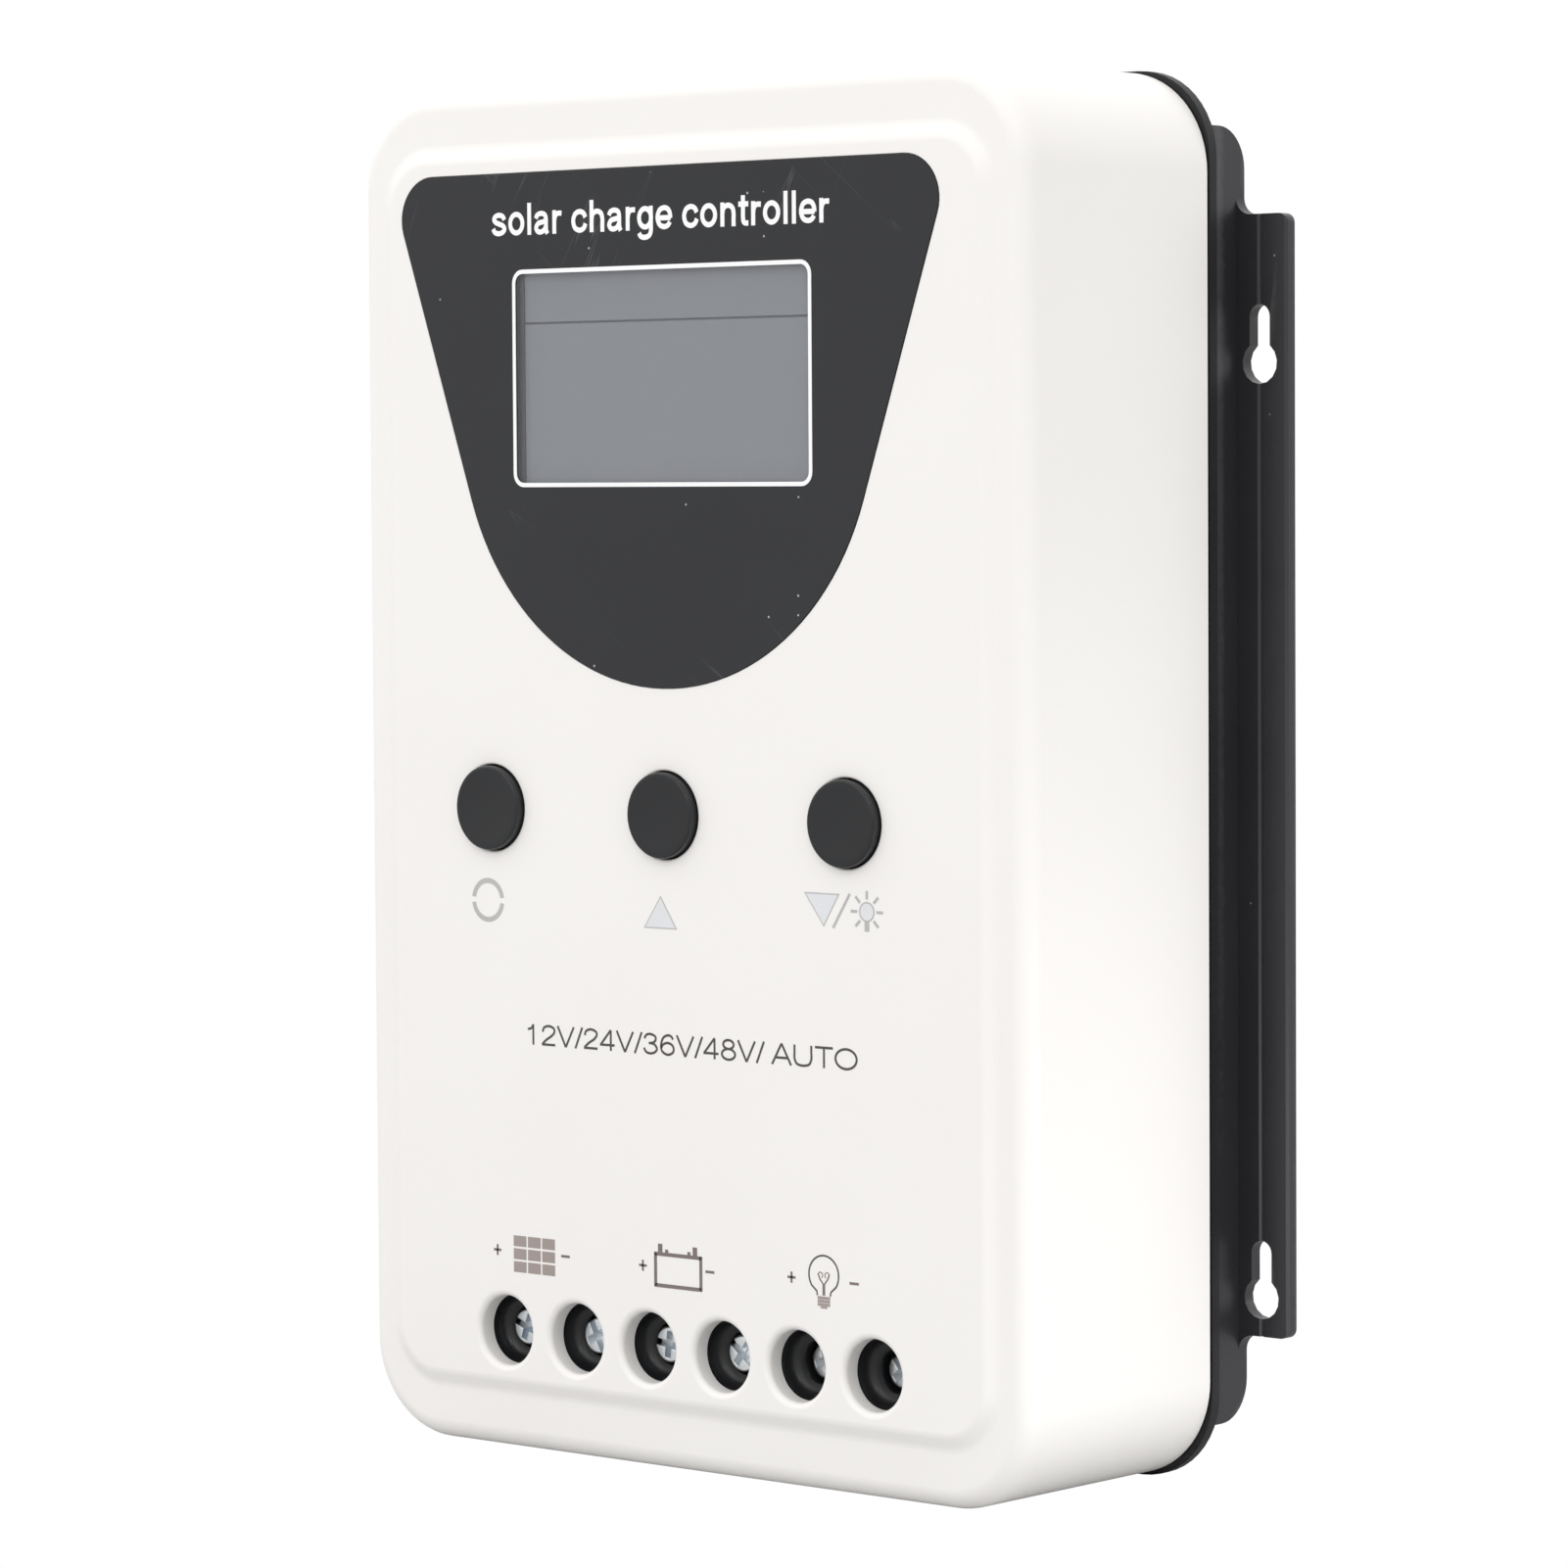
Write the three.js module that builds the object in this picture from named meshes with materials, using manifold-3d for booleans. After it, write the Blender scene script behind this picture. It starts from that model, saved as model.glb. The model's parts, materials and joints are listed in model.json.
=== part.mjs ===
// Wall-mounted solar charge controller: a white moulded cover on a black heatsink with keyhole flanges.
// Millimetres. X runs to the right, Y runs back towards the wall, Z runs up.
// The origin is the centre of the bottom edge of the whole unit's bounding box.
import * as THREE from "three";
import { mergeVertices } from "three/addons/utils/BufferGeometryUtils.js";
import Module from "manifold-3d";

// ---------------------------------------------------------------- driving dimensions

const GAP = 0.3; // left between pieces that touch
const ROUND = 20; // sides of a round piece that shows
const SMALL_ROUND = 8; // sides of a round piece inside the case

// The moulded cover. Its y = 0 plane is the flat border around the raised face.
const COVER_WIDTH = 127;
const COVER_HEIGHT = 200;
const COVER_DEPTH = 41;
const COVER_CORNER_RADIUS = 14.5;
const COVER_RIM_RADIUS = 3;
const SIDE_WALL = 2.2;
const FRONT_WALL = 2;

// The raised face inside the border, with its sloped step.
const FACE_RISE = 1;
const FACE_STEP_WIDTH = 2;
const FACE_SIDE_INSET = 5.3;
const FACE_END_INSET = 8.4;
const FACE_CORNER_RADIUS = 9;

// The printed film on the face: straight top, tapering sides and a round lower end.
const DISPLAY_CENTRE_X = -2.2;
const PANEL_TOP_MARGIN = 12.6;
const PANEL_SIDE_MARGIN = 12;
const PANEL_LENGTH = 74.4;
const PANEL_TAPER = THREE.MathUtils.degToRad(19);
const PANEL_CORNER_RADIUS = 6.2;
const PANEL_THICKNESS = 0.5;
const PANEL_PROUD = 0.15;
const PANEL_EDGE_GAP = 0.12;

// The liquid crystal display behind the film's clear window.
const LCD_TOP_MARGIN = 42.4; // top of the cover to the middle of the display
const LCD_WIDTH = 54.4;
const LCD_HEIGHT = 30;
const LCD_THICKNESS = 2.8;
const LCD_FRONT_Y = -0.05;
const WINDOW_SIDE_MARGIN = 1; // how far the window reaches past the display at each side
const WINDOW_END_MARGIN = 0.4;
const WINDOW_CORNER_RADIUS = 1.6;
const HOLDER_WALL = 1.4;

// The three push buttons.
const BUTTON_DIAMETER = 12.4;
const BUTTON_PITCH = 34.1;
const BUTTON_DROP = 18.2; // from the film's lower end down to the row of buttons
const BUTTON_PROUD = 1.3;
const BUTTON_EDGE_RADIUS = 0.7;
const BUTTON_FLANGE_WIDTH = 1.2;
const BUTTON_FLANGE_THICKNESS = 1.3;
const BUTTON_STEM_DIAMETER = 5;
const SWITCH_SIZE = 12;
const SWITCH_HEIGHT = 3.3;
const PLUNGER_DIAMETER = 6.6;
const PLUNGER_SUNK = 1.5; // how far the plunger reaches into the switch

// The display board that carries the display and the switches.
const DISPLAY_BOARD_FRONT_Y = 11;
const DISPLAY_BOARD_WIDTH = 96;
const DISPLAY_BOARD_TOP_MARGIN = 19;
const DISPLAY_BOARD_END_MARGIN = 4.8; // from the switches down to the board's lower end
const DISPLAY_SCREW_INSET = 4;
const DISPLAY_SCREW_DIAMETER = 2.4;
const DISPLAY_SCREW_LENGTH = 8;
const DISPLAY_SCREW_HEAD_DIAMETER = 5;
const DISPLAY_SCREW_HEAD_HEIGHT = 1.8;
const BOARD_THICKNESS = 1.6;

// The screw terminals, one pair per block.
const TERMINAL_CENTRE_X = 0.7;
const TERMINAL_PITCH = 14.15;
const TERMINAL_BOTTOM_MARGIN = 17.6; // bottom of the cover to the row of screws
const TERMINAL_HOLE_DIAMETER = 10.3;
const TERMINAL_HOLE_FLARE = 0.5;
const BLOCK_FLOOR_GAP = 1; // from the cover's bottom wall up to a block
const BLOCK_TOP_REACH = 10; // from the row of screws up to the top of a block
const FUNNEL_DEPTH = 2.2;
const SCREW_HEAD_DIAMETER = 5.4;
const SCREW_HEAD_HEIGHT = 2.5;
const SCREW_HEAD_DEPTH = 4.7; // from the raised face down to a backed-out screw head
const SCREW_SHANK_DIAMETER = 2.9;
const SCREW_SHANK_LENGTH = 9;
const SCREW_TIP_PROUD = 0.5; // how far a backed-out screw's tip reaches through the bridge
const SCREW_BORE_DIAMETER = 6.4;
const THREAD_PITCH = 0.5;
const LOAD_TURNS_IN = 4; // turns by which the load screws are driven deeper than the others
const CONTACT_WIDTH = 10.4;
const CONTACT_WALL = 1;
const CONTACT_BRIDGE = 1.5;
const CONTACT_INNER_DEPTH = 9.3;
const CONTACT_LENGTH = 13;
const CONTACT_PIN_WIDTH = 6;
const CLAMP_PLATE_THICKNESS = 1.2;
const CLAMP_PLATE_LENGTH = 8;
const WIRE_ENTRY_WIDTH = 9.2;
const WIRE_ENTRY_DEPTH = 8.6;

// The main board on nylon posts over the heatsink.
const MAIN_BOARD_FRONT_Y = 31;
const MAIN_BOARD_SIDE_GAP = 0.6; // from the case screws' bosses to the board
const MAIN_BOARD_END_MARGIN = 3.4;
const POST_DIAMETER = 6;
const POST_PEG_DIAMETER = 2.6;
const POST_PEG_REACH = 1.2;
const POST_INSET_X = 6.5; // from the rear frame's opening in to the posts
const POST_LOWER_Z = 40;
const POST_UPPER_MARGIN = 25;
const CAPACITOR_DIAMETER = 16;
const CAPACITOR_SPACING = 50;
const CAPACITOR_Z = 58;
const CAPACITOR_HEADROOM = 2;
const MOSFET_COUNT = 4;
const MOSFET_WIDTH = 10;
const MOSFET_LENGTH = 15;
const MOSFET_THICKNESS = 4.4;
const MOSFET_PITCH = 15;
const MOSFET_HOLE_DIAMETER = 3.2;
const MOSFET_LEG_PITCH = 2.54;
const MOSFET_LEG_WIDTH = 0.8;
const MOSFET_Z = 62;
const PAD_THICKNESS = 0.6;
const PAD_MARGIN = 2;
const CHIP_SIZE = 12;
const CHIP_THICKNESS = 1.4;
const RIBBON_WIDTH = 20;
const RIBBON_THICKNESS = 1.2;
const PLUG_HEIGHT = 5;
const PLUG_THICKNESS = 4;

// The rear frame that closes the cover, and the case screws.
const FRAME_THICKNESS = 1.7;
const FRAME_LIP = 0.2; // how far the frame stands out past the cover's walls
const FRAME_CORNER_RADIUS = 12.6;
const FRAME_RAIL = 18;
const CASE_SCREW_INSET_Z = 14;
const CASE_SCREW_DIAMETER = 2.9;
const CASE_SCREW_LENGTH = 16;
const CASE_SCREW_HEAD_DIAMETER = 5.6;
const CASE_SCREW_HEAD_HEIGHT = 2.2;
const HOLE_PLAY = 0.5; // a clearance hole's diameter over its screw's
const BOSS_DIAMETER = 7.2;
const POST_BOSS_DIAMETER = 6;

// The extruded heatsink with its mounting flanges.
const SINK_SIDE_INSET = 1;
const SINK_END_INSET = 7.8;
const SINK_BASE = 2.5;
const SINK_DEPTH = 7.8;
const SINK_WALL = 2;
const SINK_CORNER_RADIUS = 6;
const FIN_THICKNESS = 1.6;
const FIN_PITCH = 6.2;
const FIN_RECESS = 0.5;
const FLANGE_WIDTH = 8.8;
const FLANGE_THICKNESS = 2;
const FLANGE_END_INSET = 20.2;
const FLANGE_CORNER_RADIUS = 1.4;
const FLANGE_FILLET = 2.4;
const SCRIBE_DEPTH = 0.4;
const KEYHOLE_OFFSET = 4.1; // from the sink's side wall to the line of keyholes
const KEYHOLE_HEAD_DIAMETER = 6;
const KEYHOLE_SLOT_WIDTH = 3.5;
const KEYHOLE_RISE = 6.5;
const UPPER_KEYHOLE_DROP = 21; // from the flange's top end to the upper keyhole's round head
const LOWER_KEYHOLE_RISE = 5.5; // from the flange's bottom end to the lower keyhole's round head

// ---------------------------------------------------------------- planes and places worked out from them

const raisedFaceY = -FACE_RISE;
const innerFaceY = FRONT_WALL;
const buttonFrontY = raisedFaceY - BUTTON_PROUD;
const displayBoardBackY = DISPLAY_BOARD_FRONT_Y + BOARD_THICKNESS;
const mainBoardBackY = MAIN_BOARD_FRONT_Y + BOARD_THICKNESS;
const frameFrontY = COVER_DEPTH + GAP;
const frameBackY = frameFrontY + FRAME_THICKNESS;
const sinkFrontY = frameBackY + GAP;
const sinkBaseBackY = sinkFrontY + SINK_BASE;
const sinkBackY = sinkFrontY + SINK_DEPTH;
const sinkHalfWidth = COVER_WIDTH / 2 - SINK_SIDE_INSET;
const lcdZ = COVER_HEIGHT - LCD_TOP_MARGIN;
const windowWidth = LCD_WIDTH + 2 * WINDOW_SIDE_MARGIN;
const windowHeight = LCD_HEIGHT + 2 * WINDOW_END_MARGIN;
const buttonZ = COVER_HEIGHT - PANEL_TOP_MARGIN - PANEL_LENGTH - BUTTON_DROP;
const displayBoardTopZ = COVER_HEIGHT - DISPLAY_BOARD_TOP_MARGIN;
const displayBoardBottomZ = buttonZ - SWITCH_SIZE / 2 - DISPLAY_BOARD_END_MARGIN;
const displayBoardLength = displayBoardTopZ - displayBoardBottomZ;
const displayBoardZ = (displayBoardTopZ + displayBoardBottomZ) / 2;
const terminalRowEndX = TERMINAL_CENTRE_X + 3 * TERMINAL_PITCH;
const caseScrewX = (terminalRowEndX + COVER_WIDTH / 2 - SIDE_WALL) / 2; // midway to the side wall
const mainBoardWidth = 2 * (caseScrewX - BOSS_DIAMETER / 2 - MAIN_BOARD_SIDE_GAP);
const caseScrewZs = [CASE_SCREW_INSET_Z, COVER_HEIGHT - CASE_SCREW_INSET_Z];
const terminalXs = Array.from({ length: 6 }, (_, i) => TERMINAL_CENTRE_X + (i - 2.5) * TERMINAL_PITCH);
const buttonXs = [-1, 0, 1].map((side) => DISPLAY_CENTRE_X + side * BUTTON_PITCH);
const blockFrontY = innerFaceY + GAP;
const blockBackY = MAIN_BOARD_FRONT_Y - GAP;
const funnelBackY = blockFrontY + FUNNEL_DEPTH;
const contactFrontY = raisedFaceY + SCREW_HEAD_DEPTH + SCREW_HEAD_HEIGHT + SCREW_SHANK_LENGTH
  - CONTACT_BRIDGE - SCREW_TIP_PROUD;
const contactFloorY = contactFrontY + CONTACT_BRIDGE + CONTACT_INNER_DEPTH;
const contactHalfLength = CONTACT_LENGTH / 2;
const threadBore = SCREW_SHANK_DIAMETER + HOLE_PLAY;
const wireEntryFrontY = contactFrontY + CONTACT_BRIDGE + GAP;
const wireEntryBackY = wireEntryFrontY + WIRE_ENTRY_DEPTH;
const displayScrewX = DISPLAY_BOARD_WIDTH / 2 - DISPLAY_SCREW_INSET;
const displayScrewZ = displayBoardLength / 2 - DISPLAY_SCREW_INSET;

// ---------------------------------------------------------------- geometry helpers

const wasm = await Module();
wasm.setup();

/** A closed three.js geometry as a manifold-3d solid. */
function solidOf(geometry) {
  const bare = new THREE.BufferGeometry();
  const source = geometry.index ? geometry.toNonIndexed() : geometry;
  bare.setAttribute("position", source.getAttribute("position"));
  const merged = mergeVertices(bare, 1e-4);
  return new wasm.Manifold(
    new wasm.Mesh({
      numProp: 3,
      vertProperties: merged.attributes.position.array,
      triVerts: new Uint32Array(merged.index.array),
    }),
  );
}

/** A manifold-3d solid as a three.js geometry. */
function geometryOf(solid) {
  const { vertProperties, triVerts, numProp, numVert } = solid.getMesh();
  const positions = new Float32Array(numVert * 3);
  for (let i = 0; i < numVert; i++) {
    positions.set(vertProperties.subarray(i * numProp, i * numProp + 3), i * 3);
  }
  const geometry = new THREE.BufferGeometry();
  geometry.setAttribute("position", new THREE.BufferAttribute(positions, 3));
  geometry.setIndex(new THREE.BufferAttribute(triVerts, 1));
  const flat = geometry.toNonIndexed();
  flat.computeVertexNormals();
  return flat;
}

/** Joins the added geometries and cuts the removed ones out of them. */
function carve(added, removed = []) {
  let solid = solidOf(added[0]);
  for (const geometry of added.slice(1)) {
    solid = solid.add(solidOf(geometry));
  }
  for (const geometry of removed) {
    solid = solid.subtract(solidOf(geometry));
  }
  return geometryOf(solid);
}

/** A box between two opposite corners. */
function box([x0, y0, z0], [x1, y1, z1]) {
  const geometry = new THREE.BoxGeometry(x1 - x0, y1 - y0, z1 - z0);
  return geometry.translate((x0 + x1) / 2, (y0 + y1) / 2, (z0 + z1) / 2);
}

/** A cylinder or cone along Y. */
function rod(x, z, y0, y1, diameter, sides = ROUND, endDiameter = diameter) {
  const geometry = new THREE.CylinderGeometry(endDiameter / 2, diameter / 2, y1 - y0, sides);
  return geometry.translate(x, (y0 + y1) / 2, z);
}

/** A profile of [radius, y] pairs, from the axis round to the axis, turned about Y. */
function turned(profile, sides = ROUND) {
  return new THREE.LatheGeometry(profile.map(([r, y]) => new THREE.Vector2(r, y)), sides);
}

/** An outline in X and Z made solid from y0 to y1. */
function plate(shape, y0, y1, options = {}) {
  const geometry = new THREE.ExtrudeGeometry(shape, {
    depth: y1 - y0,
    bevelEnabled: false,
    curveSegments: 6,
    ...options,
  });
  return geometry.rotateX(Math.PI / 2).translate(0, y1, 0);
}

/** An outline in Y and Z made solid from x0 to x1. */
function crossPlate(shape, x0, x1) {
  const options = { depth: x1 - x0, bevelEnabled: false, curveSegments: 5 };
  const geometry = new THREE.ExtrudeGeometry(shape, options);
  const basis = new THREE.Matrix4().makeBasis(
    new THREE.Vector3(0, 1, 0),
    new THREE.Vector3(0, 0, 1),
    new THREE.Vector3(1, 0, 0),
  );
  return geometry.applyMatrix4(basis).translate(x0, 0, 0);
}

/** A rounded rectangle between two corners of the X and Z plane. */
function roundedRect(x0, z0, x1, z1, radius) {
  const shape = new THREE.Shape();
  shape.moveTo(x0 + radius, z0);
  shape.lineTo(x1 - radius, z0);
  shape.absarc(x1 - radius, z0 + radius, radius, -Math.PI / 2, 0, false);
  shape.lineTo(x1, z1 - radius);
  shape.absarc(x1 - radius, z1 - radius, radius, 0, Math.PI / 2, false);
  shape.lineTo(x0 + radius, z1);
  shape.absarc(x0 + radius, z1 - radius, radius, Math.PI / 2, Math.PI, false);
  shape.lineTo(x0, z0 + radius);
  shape.absarc(x0 + radius, z0 + radius, radius, Math.PI, Math.PI * 1.5, false);
  return shape;
}

/** A rounded rectangle of a given size about a middle point. */
function centredRect(x, z, width, height, radius) {
  return roundedRect(x - width / 2, z - height / 2, x + width / 2, z + height / 2, radius);
}

/** The cover's outline, moved in by an inset on every side. */
function coverOutline(inset, radius = COVER_CORNER_RADIUS - inset) {
  return centredRect(0, COVER_HEIGHT / 2, COVER_WIDTH - 2 * inset, COVER_HEIGHT - 2 * inset, radius);
}

// ---------------------------------------------------------------- materials

/** A plain standard material. */
function material(color, roughness, metalness = 0) {
  return new THREE.MeshStandardMaterial({ color, roughness, metalness });
}

const whitePlastic = material(0xf1efea, 0.45);
const blackFilm = material(0x3c3c40, 0.5);
const clearFilm = material(0xdfe6ea, 0.15);
clearFilm.transparent = true;
clearFilm.opacity = 0.3;
const displayGlass = material(0x8a9096, 0.35);
const blackPlastic = material(0x1b1b1e, 0.4);
const blackAluminium = material(0x17171a, 0.5, 0.6);
const zinc = material(0xb9bec4, 0.3, 1);
const brass = material(0xc8a04a, 0.35, 1);
const greenBoard = material(0x1f6b3a, 0.55);
const nylon = material(0xe6e2d6, 0.5);
const greyPad = material(0x8d9298, 0.8);
const ribbonGrey = material(0xa7abb0, 0.6);

const unit = new THREE.Group();

/** Adds one named piece to a group. */
function add(group, name, geometry, finish, position = [0, 0, 0]) {
  const mesh = new THREE.Mesh(geometry, finish);
  mesh.name = name;
  mesh.position.set(...position);
  group.add(mesh);
  return mesh;
}

/** Adds a nested group with its own place. */
function place(parent, position = [0, 0, 0]) {
  const group = new THREE.Group();
  group.position.set(...position);
  parent.add(group);
  return group;
}

// ---------------------------------------------------------------- display panel outline

/**
 * The film's outline, drawn out by a margin: straight top with round corners, sides that taper in by
 * PANEL_TAPER, and an arc that meets both sides smoothly and ends PANEL_LENGTH below the top.
 */
function panelOutline(margin) {
  const topZ = COVER_HEIGHT - PANEL_TOP_MARGIN;
  const halfWidth = COVER_WIDTH / 2 - PANEL_SIDE_MARGIN;
  const cornerX = halfWidth - PANEL_CORNER_RADIUS;
  const cornerZ = topZ - PANEL_CORNER_RADIUS;
  const apexZ = topZ - PANEL_LENGTH;
  const cos = Math.cos(PANEL_TAPER);
  const sin = Math.sin(PANEL_TAPER);
  // The arc's centre lies on the middle line, a radius above the apex and a radius from each side line.
  const arcRadius = (cornerX * cos - (cornerZ - apexZ) * sin + PANEL_CORNER_RADIUS) / (1 - sin);
  const arcZ = apexZ + arcRadius;
  const corner = PANEL_CORNER_RADIUS + margin;
  const shape = new THREE.Shape();
  shape.absarc(DISPLAY_CENTRE_X + cornerX, cornerZ, corner, -PANEL_TAPER, Math.PI / 2, false);
  shape.absarc(DISPLAY_CENTRE_X - cornerX, cornerZ, corner, Math.PI / 2, Math.PI + PANEL_TAPER, false);
  const roundStart = Math.PI + PANEL_TAPER;
  const roundEnd = Math.PI * 2 - PANEL_TAPER;
  shape.absarc(DISPLAY_CENTRE_X, arcZ, arcRadius + margin, roundStart, roundEnd, false);
  return shape;
}

// ---------------------------------------------------------------- casing

/** The moulded front cover: a five-sided shell with a raised face, bosses, posts and all its openings. */
function frontCoverGeometry() {
  const rim = {
    bevelEnabled: true,
    bevelThickness: COVER_RIM_RADIUS,
    bevelSize: COVER_RIM_RADIUS,
    bevelOffset: -COVER_RIM_RADIUS,
    bevelSegments: 3,
    curveSegments: 5,
  };
  const shell = plate(coverOutline(0), COVER_RIM_RADIUS, COVER_DEPTH + COVER_RIM_RADIUS, rim);
  const behind = box(
    [-COVER_WIDTH, COVER_DEPTH, -COVER_HEIGHT],
    [COVER_WIDTH, COVER_DEPTH + 3 * COVER_RIM_RADIUS, 2 * COVER_HEIGHT],
  );
  const hollow = plate(coverOutline(SIDE_WALL), innerFaceY, COVER_DEPTH + 1, { curveSegments: 5 });
  const step = {
    bevelEnabled: true,
    bevelThickness: FACE_RISE,
    bevelSize: FACE_STEP_WIDTH,
    bevelOffset: -FACE_STEP_WIDTH,
    bevelSegments: 1,
    curveSegments: 4,
  };
  const raised = plate(
    roundedRect(
      FACE_SIDE_INSET - COVER_WIDTH / 2,
      FACE_END_INSET,
      COVER_WIDTH / 2 - FACE_SIDE_INSET,
      COVER_HEIGHT - FACE_END_INSET,
      FACE_CORNER_RADIUS,
    ),
    0,
    FRONT_WALL / 4,
    step,
  );
  const pocketY = raisedFaceY - PANEL_PROUD + PANEL_THICKNESS + GAP;
  const pocket = plate(panelOutline(PANEL_EDGE_GAP), raisedFaceY - 1, pocketY);
  const lcdOpening = plate(
    centredRect(
      DISPLAY_CENTRE_X,
      lcdZ,
      LCD_WIDTH + 2 * (GAP + HOLDER_WALL + GAP),
      LCD_HEIGHT + 2 * (GAP + HOLDER_WALL + GAP),
      WINDOW_CORNER_RADIUS,
    ),
    raisedFaceY - 1,
    innerFaceY + 1,
    { curveSegments: 3 },
  );
  const bosses = [];
  const bossBores = [];
  for (const x of [-caseScrewX, caseScrewX]) {
    for (const z of caseScrewZs) {
      const boreFrontY = COVER_DEPTH - CASE_SCREW_LENGTH;
      bosses.push(rod(x, z, innerFaceY - FRONT_WALL / 2, COVER_DEPTH - GAP, BOSS_DIAMETER, SMALL_ROUND));
      bossBores.push(rod(x, z, boreFrontY, COVER_DEPTH, CASE_SCREW_DIAMETER + HOLE_PLAY, SMALL_ROUND));
    }
  }
  for (const x of [-displayScrewX, displayScrewX]) {
    for (const z of [displayBoardZ - displayScrewZ, displayBoardZ + displayScrewZ]) {
      const bossX = DISPLAY_CENTRE_X + x;
      const postBackY = DISPLAY_BOARD_FRONT_Y - GAP;
      bosses.push(rod(bossX, z, innerFaceY - FRONT_WALL / 2, postBackY, POST_BOSS_DIAMETER, SMALL_ROUND));
      bossBores.push(
        rod(bossX, z, innerFaceY + 1, postBackY + 1, DISPLAY_SCREW_DIAMETER + HOLE_PLAY, SMALL_ROUND),
      );
    }
  }
  const openings = buttonXs.map((x) =>
    rod(x, buttonZ, raisedFaceY - 1, innerFaceY + 1, BUTTON_DIAMETER + 2 * GAP),
  );
  for (const x of terminalXs) {
    const z = TERMINAL_BOTTOM_MARGIN;
    const flare = TERMINAL_HOLE_DIAMETER + 2 * TERMINAL_HOLE_FLARE;
    openings.push(rod(x, z, raisedFaceY - 1, innerFaceY + 1, TERMINAL_HOLE_DIAMETER));
    openings.push(
      rod(x, z, raisedFaceY, raisedFaceY + TERMINAL_HOLE_FLARE, flare, ROUND, TERMINAL_HOLE_DIAMETER),
    );
  }
  const wireSlot = [terminalXs[0] - WIRE_ENTRY_WIDTH / 2, terminalXs[5] + WIRE_ENTRY_WIDTH / 2];
  openings.push(box([wireSlot[0], wireEntryFrontY, -1], [wireSlot[1], wireEntryBackY, SIDE_WALL + 1]));
  const emptyShell = carve([shell, raised], [behind, hollow]);
  return carve([emptyShell, ...bosses], [pocket, lcdOpening, ...bossBores, ...openings]);
}

/** The black frame that closes the back of the cover and stands out a little past its corners. */
function rearFrameGeometry() {
  const ring = plate(coverOutline(-FRAME_LIP, FRAME_CORNER_RADIUS), frameFrontY, frameBackY);
  const window = plate(coverOutline(FRAME_RAIL, FRAME_LIP), frameFrontY - 1, frameBackY + 1);
  const holes = caseScrewZs.flatMap((z) =>
    [-caseScrewX, caseScrewX].map((x) =>
      rod(x, z, frameFrontY - 1, frameBackY + 1, CASE_SCREW_DIAMETER + HOLE_PLAY, SMALL_ROUND),
    ),
  );
  return carve([ring], [window, ...holes]);
}

/** The heatsink's cross-section: base, fins, side walls and the two scribed flanges. */
function sinkSection() {
  const flangeX = sinkHalfWidth + FLANGE_WIDTH;
  const flangeFrontY = sinkBackY - FLANGE_THICKNESS;
  const scribeX = sinkHalfWidth + KEYHOLE_OFFSET;
  const right = [
    [sinkHalfWidth, sinkFrontY],
    [sinkHalfWidth, flangeFrontY],
    [scribeX - SCRIBE_DEPTH, flangeFrontY],
    [scribeX, flangeFrontY + SCRIBE_DEPTH],
    [scribeX + SCRIBE_DEPTH, flangeFrontY],
    [flangeX - SCRIBE_DEPTH, flangeFrontY],
    [flangeX, flangeFrontY + SCRIBE_DEPTH],
    [flangeX, sinkBackY],
    [sinkHalfWidth - SINK_WALL, sinkBackY],
    [sinkHalfWidth - SINK_WALL, sinkBaseBackY],
  ];
  const fins = [];
  const finReach = sinkHalfWidth - SINK_WALL - FIN_PITCH / 2;
  const finCount = 2 * Math.floor(finReach / FIN_PITCH) + 1;
  const finBackY = sinkBackY - FIN_RECESS;
  for (let i = 0; i < finCount; i++) {
    const x = ((finCount - 1) / 2 - i) * FIN_PITCH;
    fins.push([x + FIN_THICKNESS / 2, sinkBaseBackY], [x + FIN_THICKNESS / 2, finBackY]);
    fins.push([x - FIN_THICKNESS / 2, finBackY], [x - FIN_THICKNESS / 2, sinkBaseBackY]);
  }
  const left = right.map(([x, y]) => [-x, y]).reverse();
  return new THREE.Shape([...right, ...fins, ...left].map(([x, y]) => new THREE.Vector2(x, y)));
}

/** What is milled away past one end of a flange, with a fillet at the wall and a round outer corner. */
function flangeEndCut() {
  const outerX = sinkHalfWidth + FLANGE_WIDTH;
  const reach = FLANGE_END_INSET;
  const filletX = sinkHalfWidth + FLANGE_FILLET;
  const shape = new THREE.Shape();
  shape.moveTo(sinkHalfWidth, -1);
  shape.lineTo(sinkHalfWidth, reach - FLANGE_FILLET);
  shape.absarc(filletX, reach - FLANGE_FILLET, FLANGE_FILLET, Math.PI, Math.PI / 2, true);
  shape.lineTo(outerX - FLANGE_CORNER_RADIUS, reach);
  const cornerZ = reach + FLANGE_CORNER_RADIUS;
  shape.absarc(outerX - FLANGE_CORNER_RADIUS, cornerZ, FLANGE_CORNER_RADIUS, -Math.PI / 2, 0, false);
  shape.lineTo(outerX + 1, cornerZ);
  shape.lineTo(outerX + 1, -1);
  return shape;
}

/** The corner that is rounded off a side wall's far end, drawn in Y and Z. */
function wallEndCut() {
  const shape = new THREE.Shape();
  shape.moveTo(sinkBackY - SINK_CORNER_RADIUS, SINK_END_INSET - 1);
  shape.lineTo(sinkBackY - SINK_CORNER_RADIUS, SINK_END_INSET);
  const centreZ = SINK_END_INSET + SINK_CORNER_RADIUS;
  shape.absarc(sinkBackY - SINK_CORNER_RADIUS, centreZ, SINK_CORNER_RADIUS, -Math.PI / 2, 0, false);
  shape.lineTo(sinkBackY + 1, centreZ);
  shape.lineTo(sinkBackY + 1, SINK_END_INSET - 1);
  return shape;
}

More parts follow.
